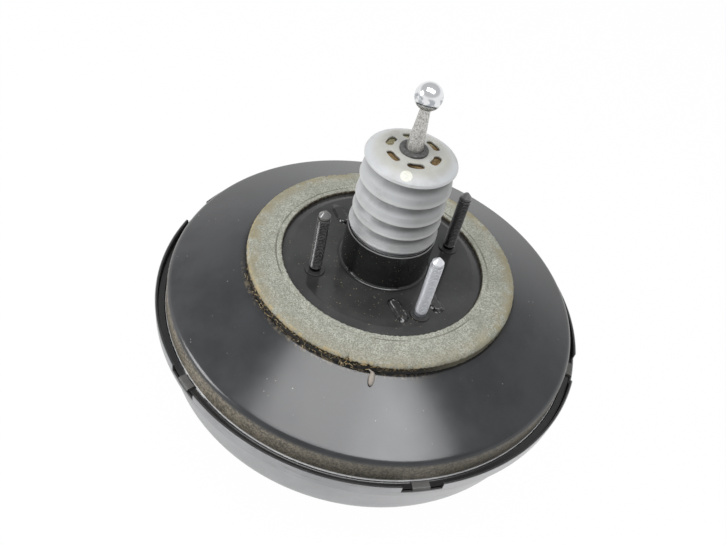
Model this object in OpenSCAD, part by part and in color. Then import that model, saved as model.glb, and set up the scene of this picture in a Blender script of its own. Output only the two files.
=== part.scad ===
// Vacuum brake booster, pedal side up.
// The origin is the centre of the raised face that is bolted to the bulkhead.
// Z runs along the pedal rod, towards the pedal.

/* [Sheet metal] */
// Thickness of the steel of both shells
sheet_t = 1.5; // [1:0.1:2]
// Thickness of the reinforcement plates
brace_t = 2.0; // [1.5:0.1:3]

/* [Rear shell] */
// Outer radius of the drawn neck
neck_r = 28.5; // [27.5:0.1:30]
// Height of the neck above the mounting face
neck_h = 27; // [24:0.5:29]
// Radius of the raised mounting face
face_r = 60; // [57:0.5:62]
// Radius of the step down to the gasket seat
step_r = 68; // [67:0.5:69]
// Fall of the sheet between the mounting face and that step
step_drop = 2; // [1:0.5:3]
// How far the gasket seat lies below the mounting face
seat_drop = 7.5; // [5:0.5:9]
// Radius at which the seat ends and the cone begins
seat_r = 90.5; // [90:0.5:94]
// How far the shoulder between cone and wall lies inside the lip
flange_w = 7.5; // [6.5:0.5:9]
// How far the shoulder lies below the mounting face
shoulder_drop = 26; // [22:0.5:28]
// How far the flange lies below the mounting face
flange_drop = 41.5; // [39:0.5:44]
// Length and width of the pressed pads beside two of the stud places
pad_size = [18.5, 7.5];
// Height of the pressed pads
pad_h = 1.1; // [0.6:0.1:1.6]
// Distance of the pads from the axis, along the diagonal
pad_along = 44.7; // [43:0.1:46]
// Directions in which the pairs of pads lie
pad_angles = [-42, 135];
// Distance of each pad from the diagonal
pad_aside = 12.7; // [11.5:0.1:14]

/* [Front shell] */
// Radius of the lip
lip_r = 145; // [143:0.5:148]
// Height of the lip above the flange of the rear shell
lip_h = 4.5; // [4:0.5:7]
// Step from the collar in to the side wall
collar_step = 4; // [3:0.5:5]
// Taper of the side wall, in radius
wall_taper = 6.5; // [1:0.5:8]
// Height of the side wall under the collar
wall_h = 39; // [34:1:50]
// Radius of the rounded corner between wall and front
corner_r = 15; // [8:1:18]
// How far the front slopes forward from the corner to the pad
front_slope = 15; // [10:1:22]
// Radius of the flat pad at the front
front_pad_r = 58; // [54:1:64]
// How far the pad stands out of the slope
front_pad_h = 5.5; // [3:0.5:8]
// Angles of the lock tabs round the collar
tab_angles = [4.6, 61.9, 119.3, 176.7, 239.7, 303.1];
// Width of a lock tab
tab_w = 10.6; // [8:0.2:14]
// Width of the notch in the lip round a tab
notch_w = 25; // [20:0.5:30]

/* [Gasket] */
// Inner radius of the foam ring
foam_in_r = 66.4; // [65.5:0.1:67.5]
// Outer radius of the foam ring
foam_out_r = 89.4; // [84:0.1:89.8]
// Height of the foam above the mounting face
foam_stand = 0.5; // [0:0.1:2]

/* [Studs] */
// Nominal diameter of all studs
stud_d = 8; // [6:0.5:10]
// Place of the left bulkhead stud
stud_1_at = [-34, -34.8];
// Place of the right bulkhead stud
stud_2_at = [34.9, 33.2];
// Place of the front bulkhead stud
stud_3_at = [37.6, -34.8];
// Length of the bulkhead studs above the mounting face
bulkhead_stud_l = 48; // [30:1:60]
// Spacing of the two master cylinder studs
cylinder_spacing = 80; // [76:1:84]
// Length of the master cylinder studs in front of the pad
cylinder_stud_l = 25; // [20:1:35]
// Diameter and height of the ring at the foot of a stud
stud_ring = [13, 1.2];
// Diameter and height of the riveted head of a stud
stud_head = [14.6, 2.4];

/* [Boot] */
// Radius of the boot's ridges
boot_r = 28; // [27:0.1:28.4]
// Wall of the boot
boot_t = 1.6; // [1.2:0.1:2]
// Depth of the grooves between the ridges
groove_depth = 3.8; // [2:0.1:4.2]
// Heights of the ridges above the mounting face, from the cap down
ridge_z = [80.6, 65.6, 51.6, 41.4];
// Height of the bead at the lower end of the boot
bead_z = 30.8; // [30.4:0.1:31.5]
// Height of the cap's top
cap_z = 86.4; // [84:0.1:90]
// Number of breather slots in the cap
slot_count = 6; // [3:1:6]
// Radius of the slots' centre line, and their width
slot_r = 14.6; // [13.5:0.1:16]
// Width of a slot
slot_w = 4.8; // [3:0.1:5.5]
// Length of a slot along its centre line
slot_l = 10.5; // [6:0.5:12]
// Depth of the boot's cuff in the neck
cuff_l = 8; // [6:0.5:9]
// Angle of the first slot
slot_phase = 54.8; // [0:0.1:60]

/* [Pedal rod] */
// Radius of the ball that the pedal clips on
pedal_ball_r = 8; // [6:0.5:9]
// Height of the ball's centre above the mounting face
pedal_ball_z = 122; // [116:1:140]
// Radius of the rod at the bush
rod_r = 3.8; // [3.5:0.1:4.5]
// Radius of the rod where it leaves the boot
rod_foot_r = 5.2; // [4.6:0.1:5.6]
// Radius of the rod under the ball
rod_end_r = 2.8; // [2.5:0.1:3.4]
// Radius of the ball in the plunger's socket
socket_ball_r = 5; // [4.6:0.1:5.4]
// Radius of the bush that shows on the cap
bush_r = 8.6; // [8.2:0.1:9.2]
// How far the bush stands out of the cap
bush_stand = 1.6; // [0.8:0.1:3]

/* [Power piston] */
// Outer radius of the valve body's tail
tail_r = 20; // [18.5:0.1:20.5]
// Wall of the tail
tail_t = 3.5; // [2.5:0.1:4]
// Height of the tail's end above the mounting face
tail_z = 56; // [52:1:60]
// Radius of the hub
hub_r = 32; // [32:0.5:36]
// Length of the hub
hub_l = 18; // [18:0.5:24]
// Radius of the bore for the reaction disc
disc_r = 14; // [12:0.5:15]
// Thickness of the reaction disc
disc_t = 7; // [5:0.5:8]
// Radius of the output rod
output_r = 6; // [5:0.5:7]
// How far the output rod stands out of the front pad
output_stand = 8; // [4:1:12]
// Room beside the diaphragm plate for the lobe of the diaphragm
lobe_w = 13; // [12:0.5:18]
// Thickness of the diaphragm plate
plate_t = 1.2; // [1:0.1:1.6]
// Thickness of the rubber diaphragm
skin_t = 2.0; // [1.4:0.1:2.2]
// Radius of the plunger
plunger_r = 9.5; // [9:0.1:10]
// Length of the guide bush in the neck
guide_l = 8; // [6:0.5:9]
// Length of the seal under the guide bush
seal_l = 7; // [6:0.5:8]
// Width of the stop key
key_w = 13.6; // [12.8:0.1:14.5]
// Thickness of the air filter
filter_l = 6; // [4:0.5:7]
// Thickness of the felt under the cap
felt_t = 5; // [3:0.5:6]

/* [Springs] */
// Mean radius of the return spring
return_spring_r = 28; // [26.5:0.5:29]
// Wire radius of the return spring
return_wire_r = 2.2; // [1.8:0.1:2.5]
// Turns of the return spring
return_turns = 6; // [4:0.5:7]

/* [Vacuum port] */
// How far the check valve sits inside the side wall
valve_inset = 46; // [43:1:50]
// Radius of the hose nipple
nipple_r = 5; // [4.5:0.1:6]
// Length of the hose nipple
nipple_l = 24; // [18:1:28]
// Radius of the hole that the grommet sits in
grommet_hole_r = 9; // [8:0.5:10]

/* [Hidden] */
$fn = 96;

// Clearances: pressed together, running in each other, and free of each other
press_gap = 0.03;
run_gap = 0.05;
free_gap = 0.3;

// Radii that follow the lip
shoulder_r = lip_r - flange_w;
wall_r = lip_r - collar_step;
plate_r = shoulder_r - lobe_w;
valve_place = wall_r - valve_inset;

// Neck, mounting face and flange
neck_in_r = neck_r - sheet_t;
neck_fillet = 1.7;
brace_in_r = neck_r + neck_fillet + 0.6;
brace_out_r = face_r - 2.5;

// Collar of the front shell, measured from the flange of the rear shell
bead_t = skin_t + 0.2;
lip_z = lip_h - flange_drop;
shelf_z = -flange_drop - 2 * sheet_t - bead_t;
corner_z = shelf_z - wall_h;
front_z = corner_z - front_slope - front_pad_h;
front_in_z = front_z + sheet_t;
tab_z = -flange_drop + 0.1;
spigot_r = 20;
spigot_l = 12;

// Valve body
hub_top = -12;
hub_z = hub_top - hub_l;
collar_r = 24;
collar_top = -6.2;
chamber_r = tail_r - tail_t;
chamber_z = -1;
disc_top = hub_z + 14;
output_z = front_z - output_stand;

// Plunger and its key: the waist is longer than the key is thick by the plunger's travel
ball_z = 1;
plunger_travel = 2;
plunger_top = ball_z + socket_ball_r / 2;
plunger_z = disc_top + plunger_travel + free_gap;
waist_r = plunger_r - 3.5;
key_t = 2;
key_z = -9;
waist_z = key_z - free_gap;
waist_top = key_z + key_t + plunger_travel + free_gap;

// Poppet, its retainer and the rod's spring
poppet_z = plunger_top + free_gap;
poppet_lip_t = 2.5;
poppet_top = 16;
retainer_z = poppet_top + 2;
retainer_t = 3;
rod_collar_z = tail_z - 10;
rod_collar_t = 2;
filter_z = tail_z - filter_l - 0.5;

// Boot and what fits in its cap
bush_barrel_r = rod_foot_r + 1.6;
felt_top = cap_z - boot_t - 0.8;
cuff_z = neck_h - cuff_l;
guide_top = cuff_z - 1;

// Profiles in the plane of radius and height
function unit(v) = v / norm(v);
function right_of(v) = [v[1], -v[0]];
function angle_of(v) = atan2(v[1], v[0]);
function turned(a, b) = let (d = b - a) d > 180 ? d - 360 : d < -180 ? d + 360 : d;
function reversed(list) = [for (i = [len(list) - 1:-1:0]) list[i]];

// Points along an arc that rounds the corner b between a and c
function corner(a, b, c, r, steps) =
    let (
        u = unit(a - b),
        v = unit(c - b),
        half = acos(u * v) / 2,
        centre = b + unit(u + v) * r / sin(half),
        from = angle_of(b + u * r / tan(half) - centre),
        sweep = turned(from, angle_of(b + v * r / tan(half) - centre))
    )
    [for (i = [0:steps]) centre + r * [cos(from + sweep * i / steps), sin(from + sweep * i / steps)]];

function flat(p) = [p[0], p[1]];

// Each point of a line is [radius, height, rounding]
function rounded(line, steps = 6) = [
    for (i = [0:len(line) - 1])
        each (line[i][2] == 0 ? [flat(line[i])]
            : corner(flat(line[i - 1]), flat(line[i]), flat(line[i + 1]), line[i][2], steps))
];

// The same line moved to its right by t, with true thickness at each bend
function beside(line, t) = [
    for (i = [0:len(line) - 1])
        let (
            before = right_of(unit(line[max(i, 1)] - line[max(i, 1) - 1])),
            last = len(line) - 2,
            after = right_of(unit(line[min(i, last) + 1] - line[min(i, last)])),
            m = unit(before + after)
        )
        line[i] + m * t / (m * after)
];

// Corner points moved to the right by t: a corner that bends away from them keeps a small rounding
function further_in(points, t) =
    let (line = [for (p = points) flat(p)], moved = beside(line, t), last = len(points) - 1)
    [
        for (i = [0:last])
            let (
                a = line[i] - line[max(i - 1, 0)],
                b = line[min(i + 1, last)] - line[i],
                bend = a[0] * b[1] - a[1] * b[0]
            )
            [moved[i][0], moved[i][1], points[i][2] == 0 ? 0 : bend < 0 ? max(points[i][2] - t, 0.2) : points[i][2] + t]
    ];

function sheet(line, t) = concat(line, reversed(beside(line, t)));

module turned_sheet(line, t) {
    rotate_extrude() polygon(sheet(rounded(line), t));
}

// A ring with a rectangular section
module ring(r_in, r_out, z, h) {
    translate([0, 0, z]) difference() {
        cylinder(r = r_out, h = h);
        translate([0, 0, -1]) cylinder(r = r_in, h = h + 2);
    }
}

// An obround plate, lying along X
module obround(length, width, h) {
    reach = (length - width) / 2;
    translate([-reach, 0, 0]) cylinder(d = width, h = h, $fn = 48);
    translate([reach, 0, 0]) cylinder(d = width, h = h, $fn = 48);
    translate([-reach, -width / 2, 0]) cube([2 * reach, width, h]);
}

// A stretch of a ring, centred on an angle
module ring_part(r_in, r_out, z, h, at, width) {
    sweep = width / r_out * 180 / PI;
    rotate([0, 0, at - sweep / 2])
        rotate_extrude(angle = sweep) translate([r_in, z]) square([r_out - r_in, h]);
}

// A coil with closed ends, from z0 to z1, whose radius runs from r0 to r1
module coil(r0, r1, wire, z0, z1, turns, per_turn, sides) {
    steps = round(turns * per_turn);
    low = z0 + wire;
    high = z1 - wire;
    // The first and last turns lie flat, and the rest climb evenly
    function climb(u) = min(max((u * turns - 0.9) / (turns - 1.8), 0), 1);
    function spot(i) = let (u = i / steps, r = r0 + (r1 - r0) * climb(u))
        [r * cos(360 * turns * u), r * sin(360 * turns * u), low + (high - low) * climb(u)];
    points = [
        for (i = [0:steps], k = [0:sides - 1])
            let (c = spot(i), a = 360 * turns * i / steps, b = 360 * k / sides)
            c + wire * [cos(a) * cos(b), sin(a) * cos(b), sin(b)]
    ];
    walls = [
        for (i = [0:steps - 1], k = [0:sides - 1])
            let (n = (k + 1) % sides)
            [i * sides + k, (i + 1) * sides + k, (i + 1) * sides + n, i * sides + n]
    ];
    first = [for (k = [0:sides - 1]) k];
    last = [for (k = [sides - 1:-1:0]) steps * sides + k];
    polyhedron(points, concat(walls, [first], [last]));
}

// How far the shoulder in the brace stands out beyond the thread
stud_shoulder = 0.6;

// A stud along Z with its foot on z = 0, its riveted head below and its pilot tip at length l:
// its ring fills the hole of the shell and stands a little proud
module stud(l, through, tint) {
    r = stud_d / 2;
    tip_l = 0.5 * stud_d;
    groove_l = 1;
    color(tint) {
        translate([0, 0, -through - stud_head[1]]) cylinder(d = stud_head[0], h = stud_head[1]);
        translate([0, 0, -through]) cylinder(r = r + stud_shoulder, h = through - sheet_t + 0.1);
        cylinder(r = r, h = l - tip_l - groove_l);
        translate([0, 0, -sheet_t]) cylinder(d = stud_ring[0], h = stud_ring[1] + sheet_t);
        translate([0, 0, l - tip_l - groove_l]) cylinder(r = 0.8 * r, h = groove_l);
        translate([0, 0, l - tip_l]) cylinder(r1 = 0.85 * r, r2 = 0.4 * r, h = tip_l);
    }
}

// Holes for the three studs
stud_places = [stud_1_at, stud_2_at, stud_3_at];

module bulkhead_holes(r, z, h) {
    for (p = stud_places) translate([p[0], p[1], z]) cylinder(r = r, h = h);
}

module cylinder_holes(r, z, h) {
    for (side = [-1, 1]) translate([side * cylinder_spacing / 2, 0, z]) cylinder(r = r, h = h);
}

// Rear shell: neck, mounting face, gasket seat, cone, shoulder, wall and flange
module rear_shell() {
    profile = [
        [neck_r, neck_h, 0],
        [neck_r, 0, neck_fillet],
        [face_r, 0, 4],
        [step_r, -step_drop, 2],
        [step_r + 1, -seat_drop, 1.6],
        [seat_r, -seat_drop, 3],
        [shoulder_r, -shoulder_drop, 5],
        [shoulder_r + 0.8, -flange_drop, 1.6],
        [lip_r - sheet_t - 0.6, -flange_drop, 0]
    ];
    color("#26272a") difference() {
        union() {
            turned_sheet(profile, sheet_t);
            for (end = pad_angles, side = [-1, 1])
                rotate([0, 0, end]) translate([pad_along, side * pad_aside, -sheet_t / 2])
                    obround(pad_size[0], pad_size[1], sheet_t / 2 + pad_h);
        }
        bulkhead_holes(stud_ring[0] / 2 + press_gap, -sheet_t - 1, sheet_t + 2);
    }
}

// The hollow boss for the grommet stands out of the sloping front
boss_r = grommet_hole_r + 8;
boss_z = corner_z - front_slope * 0.75;

module front_shell() {
    profile = [
        [lip_r, lip_z, 0],
        [lip_r - 0.3, shelf_z, 1.6],
        [wall_r, shelf_z, 1.6],
        [wall_r - wall_taper, corner_z, corner_r],
        [front_pad_r + 8, corner_z - front_slope, 5],
        [front_pad_r, front_z, 3],
        [spigot_r, front_z, 2],
        [spigot_r, front_z + spigot_l, 0]
    ];
    inner = beside(rounded(profile), sheet_t);
    below = concat(inner, [[1, inner[len(inner) - 1][1]], [1, front_z - 20], [lip_r + 5, front_z - 20], [lip_r + 5, lip_z]]);
    color("#303236") {
        difference() {
            union() {
                turned_sheet(profile, sheet_t);
                intersection() {
                    translate([0, valve_place, boss_z]) cylinder(r = boss_r, h = 40);
                    rotate_extrude() polygon(below);
                }
            }
            translate([0, valve_place, boss_z + sheet_t]) cylinder(r = boss_r - sheet_t, h = 40);
            translate([0, valve_place, boss_z - 1]) cylinder(r = grommet_hole_r, h = sheet_t + 2);
            cylinder_holes(stud_ring[0] / 2 + press_gap, front_z - 1, sheet_t + 2);
            for (a = tab_angles)
                ring_part(lip_r - 4, lip_r + 2, tab_z - 0.4, lip_h + 2, a, notch_w);
        }
        for (a = tab_angles) {
            ring_part(shoulder_r + 2, lip_r - 0.4, tab_z, sheet_t, a, tab_w);
            ring_part(lip_r - sheet_t - 0.1, lip_r - 0.4, tab_z - 1.5, 2, a, tab_w);
        }
    }
}

// Foam ring that seals the booster to the bulkhead
module foam_gasket() {
    edge_z = 0.4 - step_drop * (foam_in_r - face_r) / (step_r - face_r);
    color("#9c9c86") rotate_extrude() polygon(rounded([
        [foam_in_r, edge_z, 0],
        [step_r + 0.7, -step_drop + 0.35, 0.8],
        [step_r + 2.6, -seat_drop + 0.05, 0],
        [foam_out_r, -seat_drop + 0.05, 0],
        [foam_out_r, foam_stand, 1.2],
        [foam_in_r, foam_stand, 0.8],
        [foam_in_r, edge_z + 0.3, 0]
    ]));
}

module bulkhead_stud(i) {
    translate([stud_places[i][0], stud_places[i][1], 0])
        stud(bulkhead_stud_l, sheet_t + brace_t, i == 2 ? "#c9c9c6" : "#1d1d1e");
}

// Ring under the mounting face that holds the bulkhead studs
module rear_brace() {
    color("#5f6164") difference() {
        ring(brace_in_r, brace_out_r, -sheet_t - brace_t, brace_t);
        bulkhead_holes(stud_d / 2 + stud_shoulder + press_gap, -sheet_t - brace_t - 1, brace_t + 2);
    }
}

// Plastic bush in which the tail of the valve body slides
module guide_bush() {
    color("#d8d5c4") ring(tail_r + run_gap, neck_in_r - press_gap, guide_top - guide_l, guide_l);
}

// Lip seal under the bush
module neck_seal() {
    seal_top = guide_top - guide_l - 0.1;
    lip_gap = 0.1;
    color("#2a2a2a") rotate_extrude() polygon([
        [neck_in_r - press_gap, seal_top],
        [neck_in_r - press_gap, seal_top - seal_l + 3],
        [neck_in_r - 2, seal_top - seal_l],
        [tail_r + 2, seal_top - seal_l],
        [tail_r + lip_gap, seal_top - seal_l + 1.5],
        [tail_r + 1.6, seal_top - seal_l + 3],
        [tail_r + lip_gap, seal_top - 2],
        [tail_r + 1, seal_top]
    ]);
}

// Points of one fold, outside: the ridge, the groove under it and the bulge above the next ridge
function fold(z, next) = [
    [boot_r, z, 0.5],
    [boot_r - groove_depth, z - 3, 1],
    [boot_r - 0.25 * groove_depth, (z - 3 + next) / 2, 2]
];

ridge_ends = [for (i = [1:len(ridge_z)]) i < len(ridge_z) ? ridge_z[i] : bead_z + 1.4];
boot_top = concat(
    [
        [bush_barrel_r + 0.1, cap_z, 0],
        [boot_r - 8, cap_z - 0.4, 8],
        [boot_r - 0.6, ridge_z[0] + 1.6, 1.6]
    ],
    [for (i = [0:len(ridge_z) - 1]) each fold(ridge_z[i], ridge_ends[i])]
);
recess_r = neck_in_r - 1.9;

// The bead stands on the boot's wall, and a recess parts it from the neck
boot_outside = concat(boot_top, [
    [boot_r - 0.1, bead_z + 1.2, 0.4],
    [boot_r + 0.3, bead_z + 0.4, 0.3],
    [boot_r + 0.3, bead_z - 0.6, 0.3],
    [recess_r, bead_z - 1.2, 0.3],
    [recess_r, neck_h - 1, 0.3],
    [neck_in_r - 0.1, neck_h - 1.8, 0.3],
    [neck_in_r - 0.1, cuff_z, 0]
]);
boot_inside = further_in(concat(boot_top, [[recess_r, bead_z - 1.2, 1], [recess_r, cuff_z, 0]]), boot_t);

// Bellows between the neck and the pedal rod, with the breather slots in its cap
module boot() {
    sweep = (slot_l - slot_w) / slot_r * 180 / PI;
    color("#c6c9c8") difference() {
        rotate_extrude() polygon(concat(rounded(boot_outside, 4), reversed(rounded(boot_inside, 4))));
        for (i = [0:slot_count - 1])
            rotate([0, 0, slot_phase + i * 360 / slot_count - sweep / 2]) {
                translate([0, 0, cap_z - 6]) rotate_extrude(angle = sweep)
                    translate([slot_r - slot_w / 2, 0]) square([slot_w, 10]);
                for (a = [0, sweep])
                    rotate([0, 0, a]) translate([slot_r, 0, cap_z - 6]) cylinder(d = slot_w, h = 10, $fn = 32);
            }
    }
}

// Ring inside the front pad that holds the master cylinder studs
module front_brace() {
    color("#5f6164") difference() {
        ring(spigot_r + sheet_t + 0.5, front_pad_r - 6, front_in_z, brace_t);
        cylinder_holes(stud_d / 2 + stud_shoulder + press_gap, front_in_z - 1, brace_t + 2);
    }
}

module cylinder_stud(side) {
    translate([side * cylinder_spacing / 2, 0, front_z]) rotate([180, 0, 0])
        stud(cylinder_stud_l, sheet_t + brace_t, "#c9c9c6");
}

// Rubber ring in the drawn collar, for the spigot of the master cylinder
module front_seal() {
    color("#232323") rotate_extrude() polygon([
        [spigot_r - press_gap, front_z + spigot_l],
        [spigot_r - press_gap, front_z + spigot_l - 4],
        [spigot_r - 3, front_z + spigot_l - 4],
        [spigot_r - 4, front_z + spigot_l - 2],
        [spigot_r - 3, front_z + spigot_l]
    ]);
}

// Rubber grommet in the boss, and the check valve with its hose nipple
stem_r = 5.4;
grommet_lip = 1.8;

module valve_grommet() {
    low = boss_z - grommet_lip;
    high = boss_z + sheet_t + 3;
    color("#1c1c1c") translate([0, valve_place, 0]) rotate_extrude() polygon([
        [stem_r + run_gap, low],
        [grommet_hole_r + 3, low],
        [grommet_hole_r + 3, boss_z - press_gap],
        [grommet_hole_r - press_gap, boss_z - press_gap],
        [grommet_hole_r - press_gap, boss_z + sheet_t + press_gap],
        [grommet_hole_r + 1.5, boss_z + sheet_t + press_gap],
        [grommet_hole_r - 1, high],
        [stem_r + run_gap, high]
    ]);
}

module check_valve() {
    drum_r = nipple_r + 4.5;
    drum_h = 2 * nipple_r + 6;
    drum_top = boss_z - grommet_lip - 0.1;
    axis_z = drum_top - drum_h / 2;
    bore_r = nipple_r - 1.8;
    stop_l = drum_r + 1;
    color("#2b2b2d") difference() {
        union() {
            translate([0, valve_place, drum_top - drum_h]) cylinder(r = drum_r, h = drum_h);
            translate([0, valve_place, drum_top - 0.5]) cylinder(r = stem_r, h = sheet_t + grommet_lip + 6);
            translate([0, valve_place, axis_z]) rotate([-90, 0, 0]) {
                cylinder(r = nipple_r, h = drum_r + nipple_l - 4);
                cylinder(r = nipple_r + 2, h = stop_l);
                translate([0, 0, drum_r + nipple_l - 4]) cylinder(r1 = nipple_r, r2 = nipple_r - 1, h = 4);
            }
        }
        translate([0, valve_place, axis_z]) rotate([-90, 0, 0]) cylinder(r = bore_r, h = drum_r + nipple_l + 1);
        translate([0, valve_place, axis_z]) cylinder(r = bore_r, h = 40);
    }
}

// Hub and tail of the power piston, with its bores, vacuum passages and key slot
module valve_body() {
    seat_r_mid = (plunger_r + chamber_r) / 2;
    color("#3a3c33") difference() {
        union() {
            translate([0, 0, hub_z]) cylinder(r = hub_r, h = hub_l);
            translate([0, 0, hub_top - 1]) cylinder(r = collar_r, h = collar_top - hub_top + 1);
            translate([0, 0, collar_top - 1]) cylinder(r = tail_r, h = tail_z - collar_top + 1);
        }
        translate([0, 0, hub_z - 1]) cylinder(r = disc_r + run_gap, h = disc_top - hub_z + 1);
        translate([0, 0, disc_top - 1]) cylinder(r = plunger_r + run_gap, h = chamber_z - disc_top + 2);
        difference() {
            translate([0, 0, chamber_z]) cylinder(r = chamber_r, h = tail_z - chamber_z + 1);
            ring(plunger_r + 1, plunger_r + 2.6, chamber_z - 1, poppet_z - free_gap - chamber_z + 1);
        }
        for (a = [90, 270])
            rotate([0, 0, a]) translate([chamber_r - 2.5, 0, hub_z - 1]) cylinder(r = 2, h = chamber_z - hub_z + 2);
        translate([-collar_r - 1, -key_w / 2 - 0.2, key_z - 0.2])
            cube([2 * collar_r + 2, key_w + 0.4, key_t + 0.4]);
    }
}

// Pressed plate behind the diaphragm: it follows the rear shell and ends in a turned-down rim
plate_top = hub_top + plate_t + 0.02;
plate_line = [
    [collar_r + 0.1, plate_top, 0],
    [face_r - 2, plate_top, 3],
    [face_r + 4, plate_top - 2.2, 3],
    [seat_r, plate_top - 2.2, 4],
    [plate_r, -shoulder_drop - 3.1, 4]
];

module diaphragm_plate() {
    color("#8d9091") turned_sheet(concat(plate_line, [[plate_r, -shoulder_drop - 12, 0]]), plate_t);
}

// Rolling rubber diaphragm: it lies on the plate, hangs in a lobe beside it and ends in the clamped bead
module diaphragm() {
    lobe_z = -flange_drop - 16;
    outer_leg = shoulder_r - 2.5;
    foot_z = shelf_z + sheet_t;
    line = rounded(concat(plate_line, [
        [plate_r, lobe_z, 4.6],
        [outer_leg, lobe_z, 4.6],
        [outer_leg, foot_z, 1.2],
        [lip_r - 3 * sheet_t, foot_z, 0]
    ]));
    color("#2c2c2a") rotate_extrude()
        polygon(concat(beside(line, -0.1), reversed(beside(line, -0.1 - skin_t))));
}

// Spring that returns the power piston
module return_spring() {
    color("#3b3d40") coil(return_spring_r, return_spring_r, return_wire_r,
        front_in_z + brace_t + 0.1, hub_z - 0.1, return_turns, 22, 8);
}

// Rubber disc that shares the load between the output rod, the plunger and the hub
module reaction_disc() {
    color("#1f1f20") translate([0, 0, disc_top - disc_t]) cylinder(r = disc_r, h = disc_t - 0.05);
}

// Rod that pushes the piston of the master cylinder
module output_rod() {
    head_top = disc_top - disc_t - 0.05;
    head_h = 6;
    tip = 4;
    color("#b9bab8") rotate_extrude() polygon(rounded([
        [0, head_top, 0],
        [disc_r, head_top, 0],
        [disc_r, head_top - head_h, 0],
        [output_r + 2, head_top - head_h, 2],
        [output_r, head_top - head_h - 3, 0],
        [output_r, output_z + tip, 0],
        [output_r - 1.5, output_z, 1],
        [0, output_z, 0]
    ]));
}

// Fork that keeps the plunger in the valve body
module stop_key() {
    reach = collar_r - 1;
    color("#a9a69a") difference() {
        translate([-reach, -key_w / 2, key_z]) cube([2 * reach, key_w, key_t]);
        translate([0, 0, key_z - 1]) cylinder(r = waist_r + free_gap, h = key_t + 2);
        translate([0, -waist_r - free_gap, key_z - 1]) cube([reach + 1, 2 * (waist_r + free_gap), key_t + 2]);
    }
}

// Rubber poppet: the disc that meets both valve seats, its sleeve, and its clamped edge
module poppet_valve() {
    color("#262626") rotate_extrude() polygon([
        [rod_r + 3.2, poppet_z],
        [chamber_r - 2.2, poppet_z],
        [chamber_r - 2.2, poppet_top - 0.1],
        [chamber_r - press_gap, poppet_top - 0.1],
        [chamber_r - press_gap, poppet_top + 1.9],
        [chamber_r - 3.7, poppet_top + 1.9],
        [chamber_r - 3.7, poppet_z + poppet_lip_t],
        [rod_r + 3.2, poppet_z + poppet_lip_t]
    ]);
}

// Light spring that closes the poppet
module poppet_spring() {
    r = chamber_r - 5.2;
    color("#b5b5b2") coil(r, r, 0.6, poppet_z + poppet_lip_t + 0.05, retainer_z - 0.05, 4.5, 16, 6);
}

// Cup that clamps the poppet and carries the rod's spring
module spring_retainer() {
    color("#cfcab4") rotate_extrude() polygon([
        [rod_r + 4, retainer_z],
        [chamber_r - press_gap, retainer_z],
        [chamber_r - press_gap, retainer_z + retainer_t + 3],
        [chamber_r - 1.6, retainer_z + retainer_t + 3],
        [chamber_r - 1.6, retainer_z + retainer_t],
        [rod_r + 4, retainer_z + retainer_t]
    ]);
}

// Felt ring in the mouth of the tail
module air_filter() {
    color("#a88f5c") ring(rod_r + 3.8, chamber_r - press_gap, filter_z, filter_l);
}

// Valve plunger with the socket for the rod's ball
module plunger() {
    color("#c8a860") difference() {
        rotate_extrude() polygon([
            [0, plunger_z],
            [plunger_r, plunger_z],
            [plunger_r, waist_z],
            [waist_r, waist_z],
            [waist_r, waist_top],
            [plunger_r, waist_top],
            [plunger_r, plunger_top],
            [0, plunger_top]
        ]);
        translate([0, 0, ball_z]) sphere(r = socket_ball_r + run_gap);
    }
}

// Spring that returns the pedal rod, narrower towards the rod's collar
module rod_spring() {
    color("#b5b5b2") coil(chamber_r - 4.5, rod_r + 3, 0.8, retainer_z + retainer_t + 0.05,
        rod_collar_z - 0.05, 5.5, 16, 6);
}

// Pedal rod: the ball in the plunger, the collar for its spring, the shank and the pedal's ball
module input_rod() {
    neck = 3.2;
    taper_z = cap_z + bush_stand + 0.3;
    foot_z = felt_top - felt_t - 3;
    color("#c4c5c2") union() {
        translate([0, 0, ball_z]) sphere(r = socket_ball_r);
        translate([0, 0, ball_z]) cylinder(r = neck, h = poppet_top - ball_z);
        translate([0, 0, poppet_top - 0.01]) cylinder(r1 = neck, r2 = rod_r, h = 3);
        translate([0, 0, poppet_top + 2.9]) cylinder(r = rod_r, h = foot_z - poppet_top - 2.9);
        translate([0, 0, foot_z - 1.5]) cylinder(r1 = rod_r, r2 = rod_foot_r, h = 1.51);
        translate([0, 0, foot_z]) cylinder(r = rod_foot_r, h = taper_z - foot_z);
        translate([0, 0, rod_collar_z]) cylinder(r = rod_r + 4.6, h = rod_collar_t);
        translate([0, 0, taper_z - 0.01])
            cylinder(r1 = rod_foot_r, r2 = rod_end_r, h = pedal_ball_z - taper_z);
        translate([0, 0, pedal_ball_z]) sphere(r = pedal_ball_r);
    }
}

// Bush that holds the cap of the boot on the pedal rod
module rod_bush() {
    color("#4b4c4e") rotate_extrude() polygon([
        [rod_foot_r + press_gap, felt_top - felt_t],
        [bush_barrel_r, felt_top - felt_t],
        [bush_barrel_r, cap_z + 0.05],
        [bush_r, cap_z + 0.05],
        [bush_r, cap_z + bush_stand - 0.5],
        [bush_r - 0.5, cap_z + bush_stand],
        [rod_foot_r + press_gap, cap_z + bush_stand]
    ]);
}

// Felt disc under the cap, seen through the breather slots
module boot_felt() {
    color("#a88f5c") ring(bush_barrel_r + 0.2, boot_r - groove_depth - boot_t - 4, felt_top - felt_t, felt_t);
}

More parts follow.
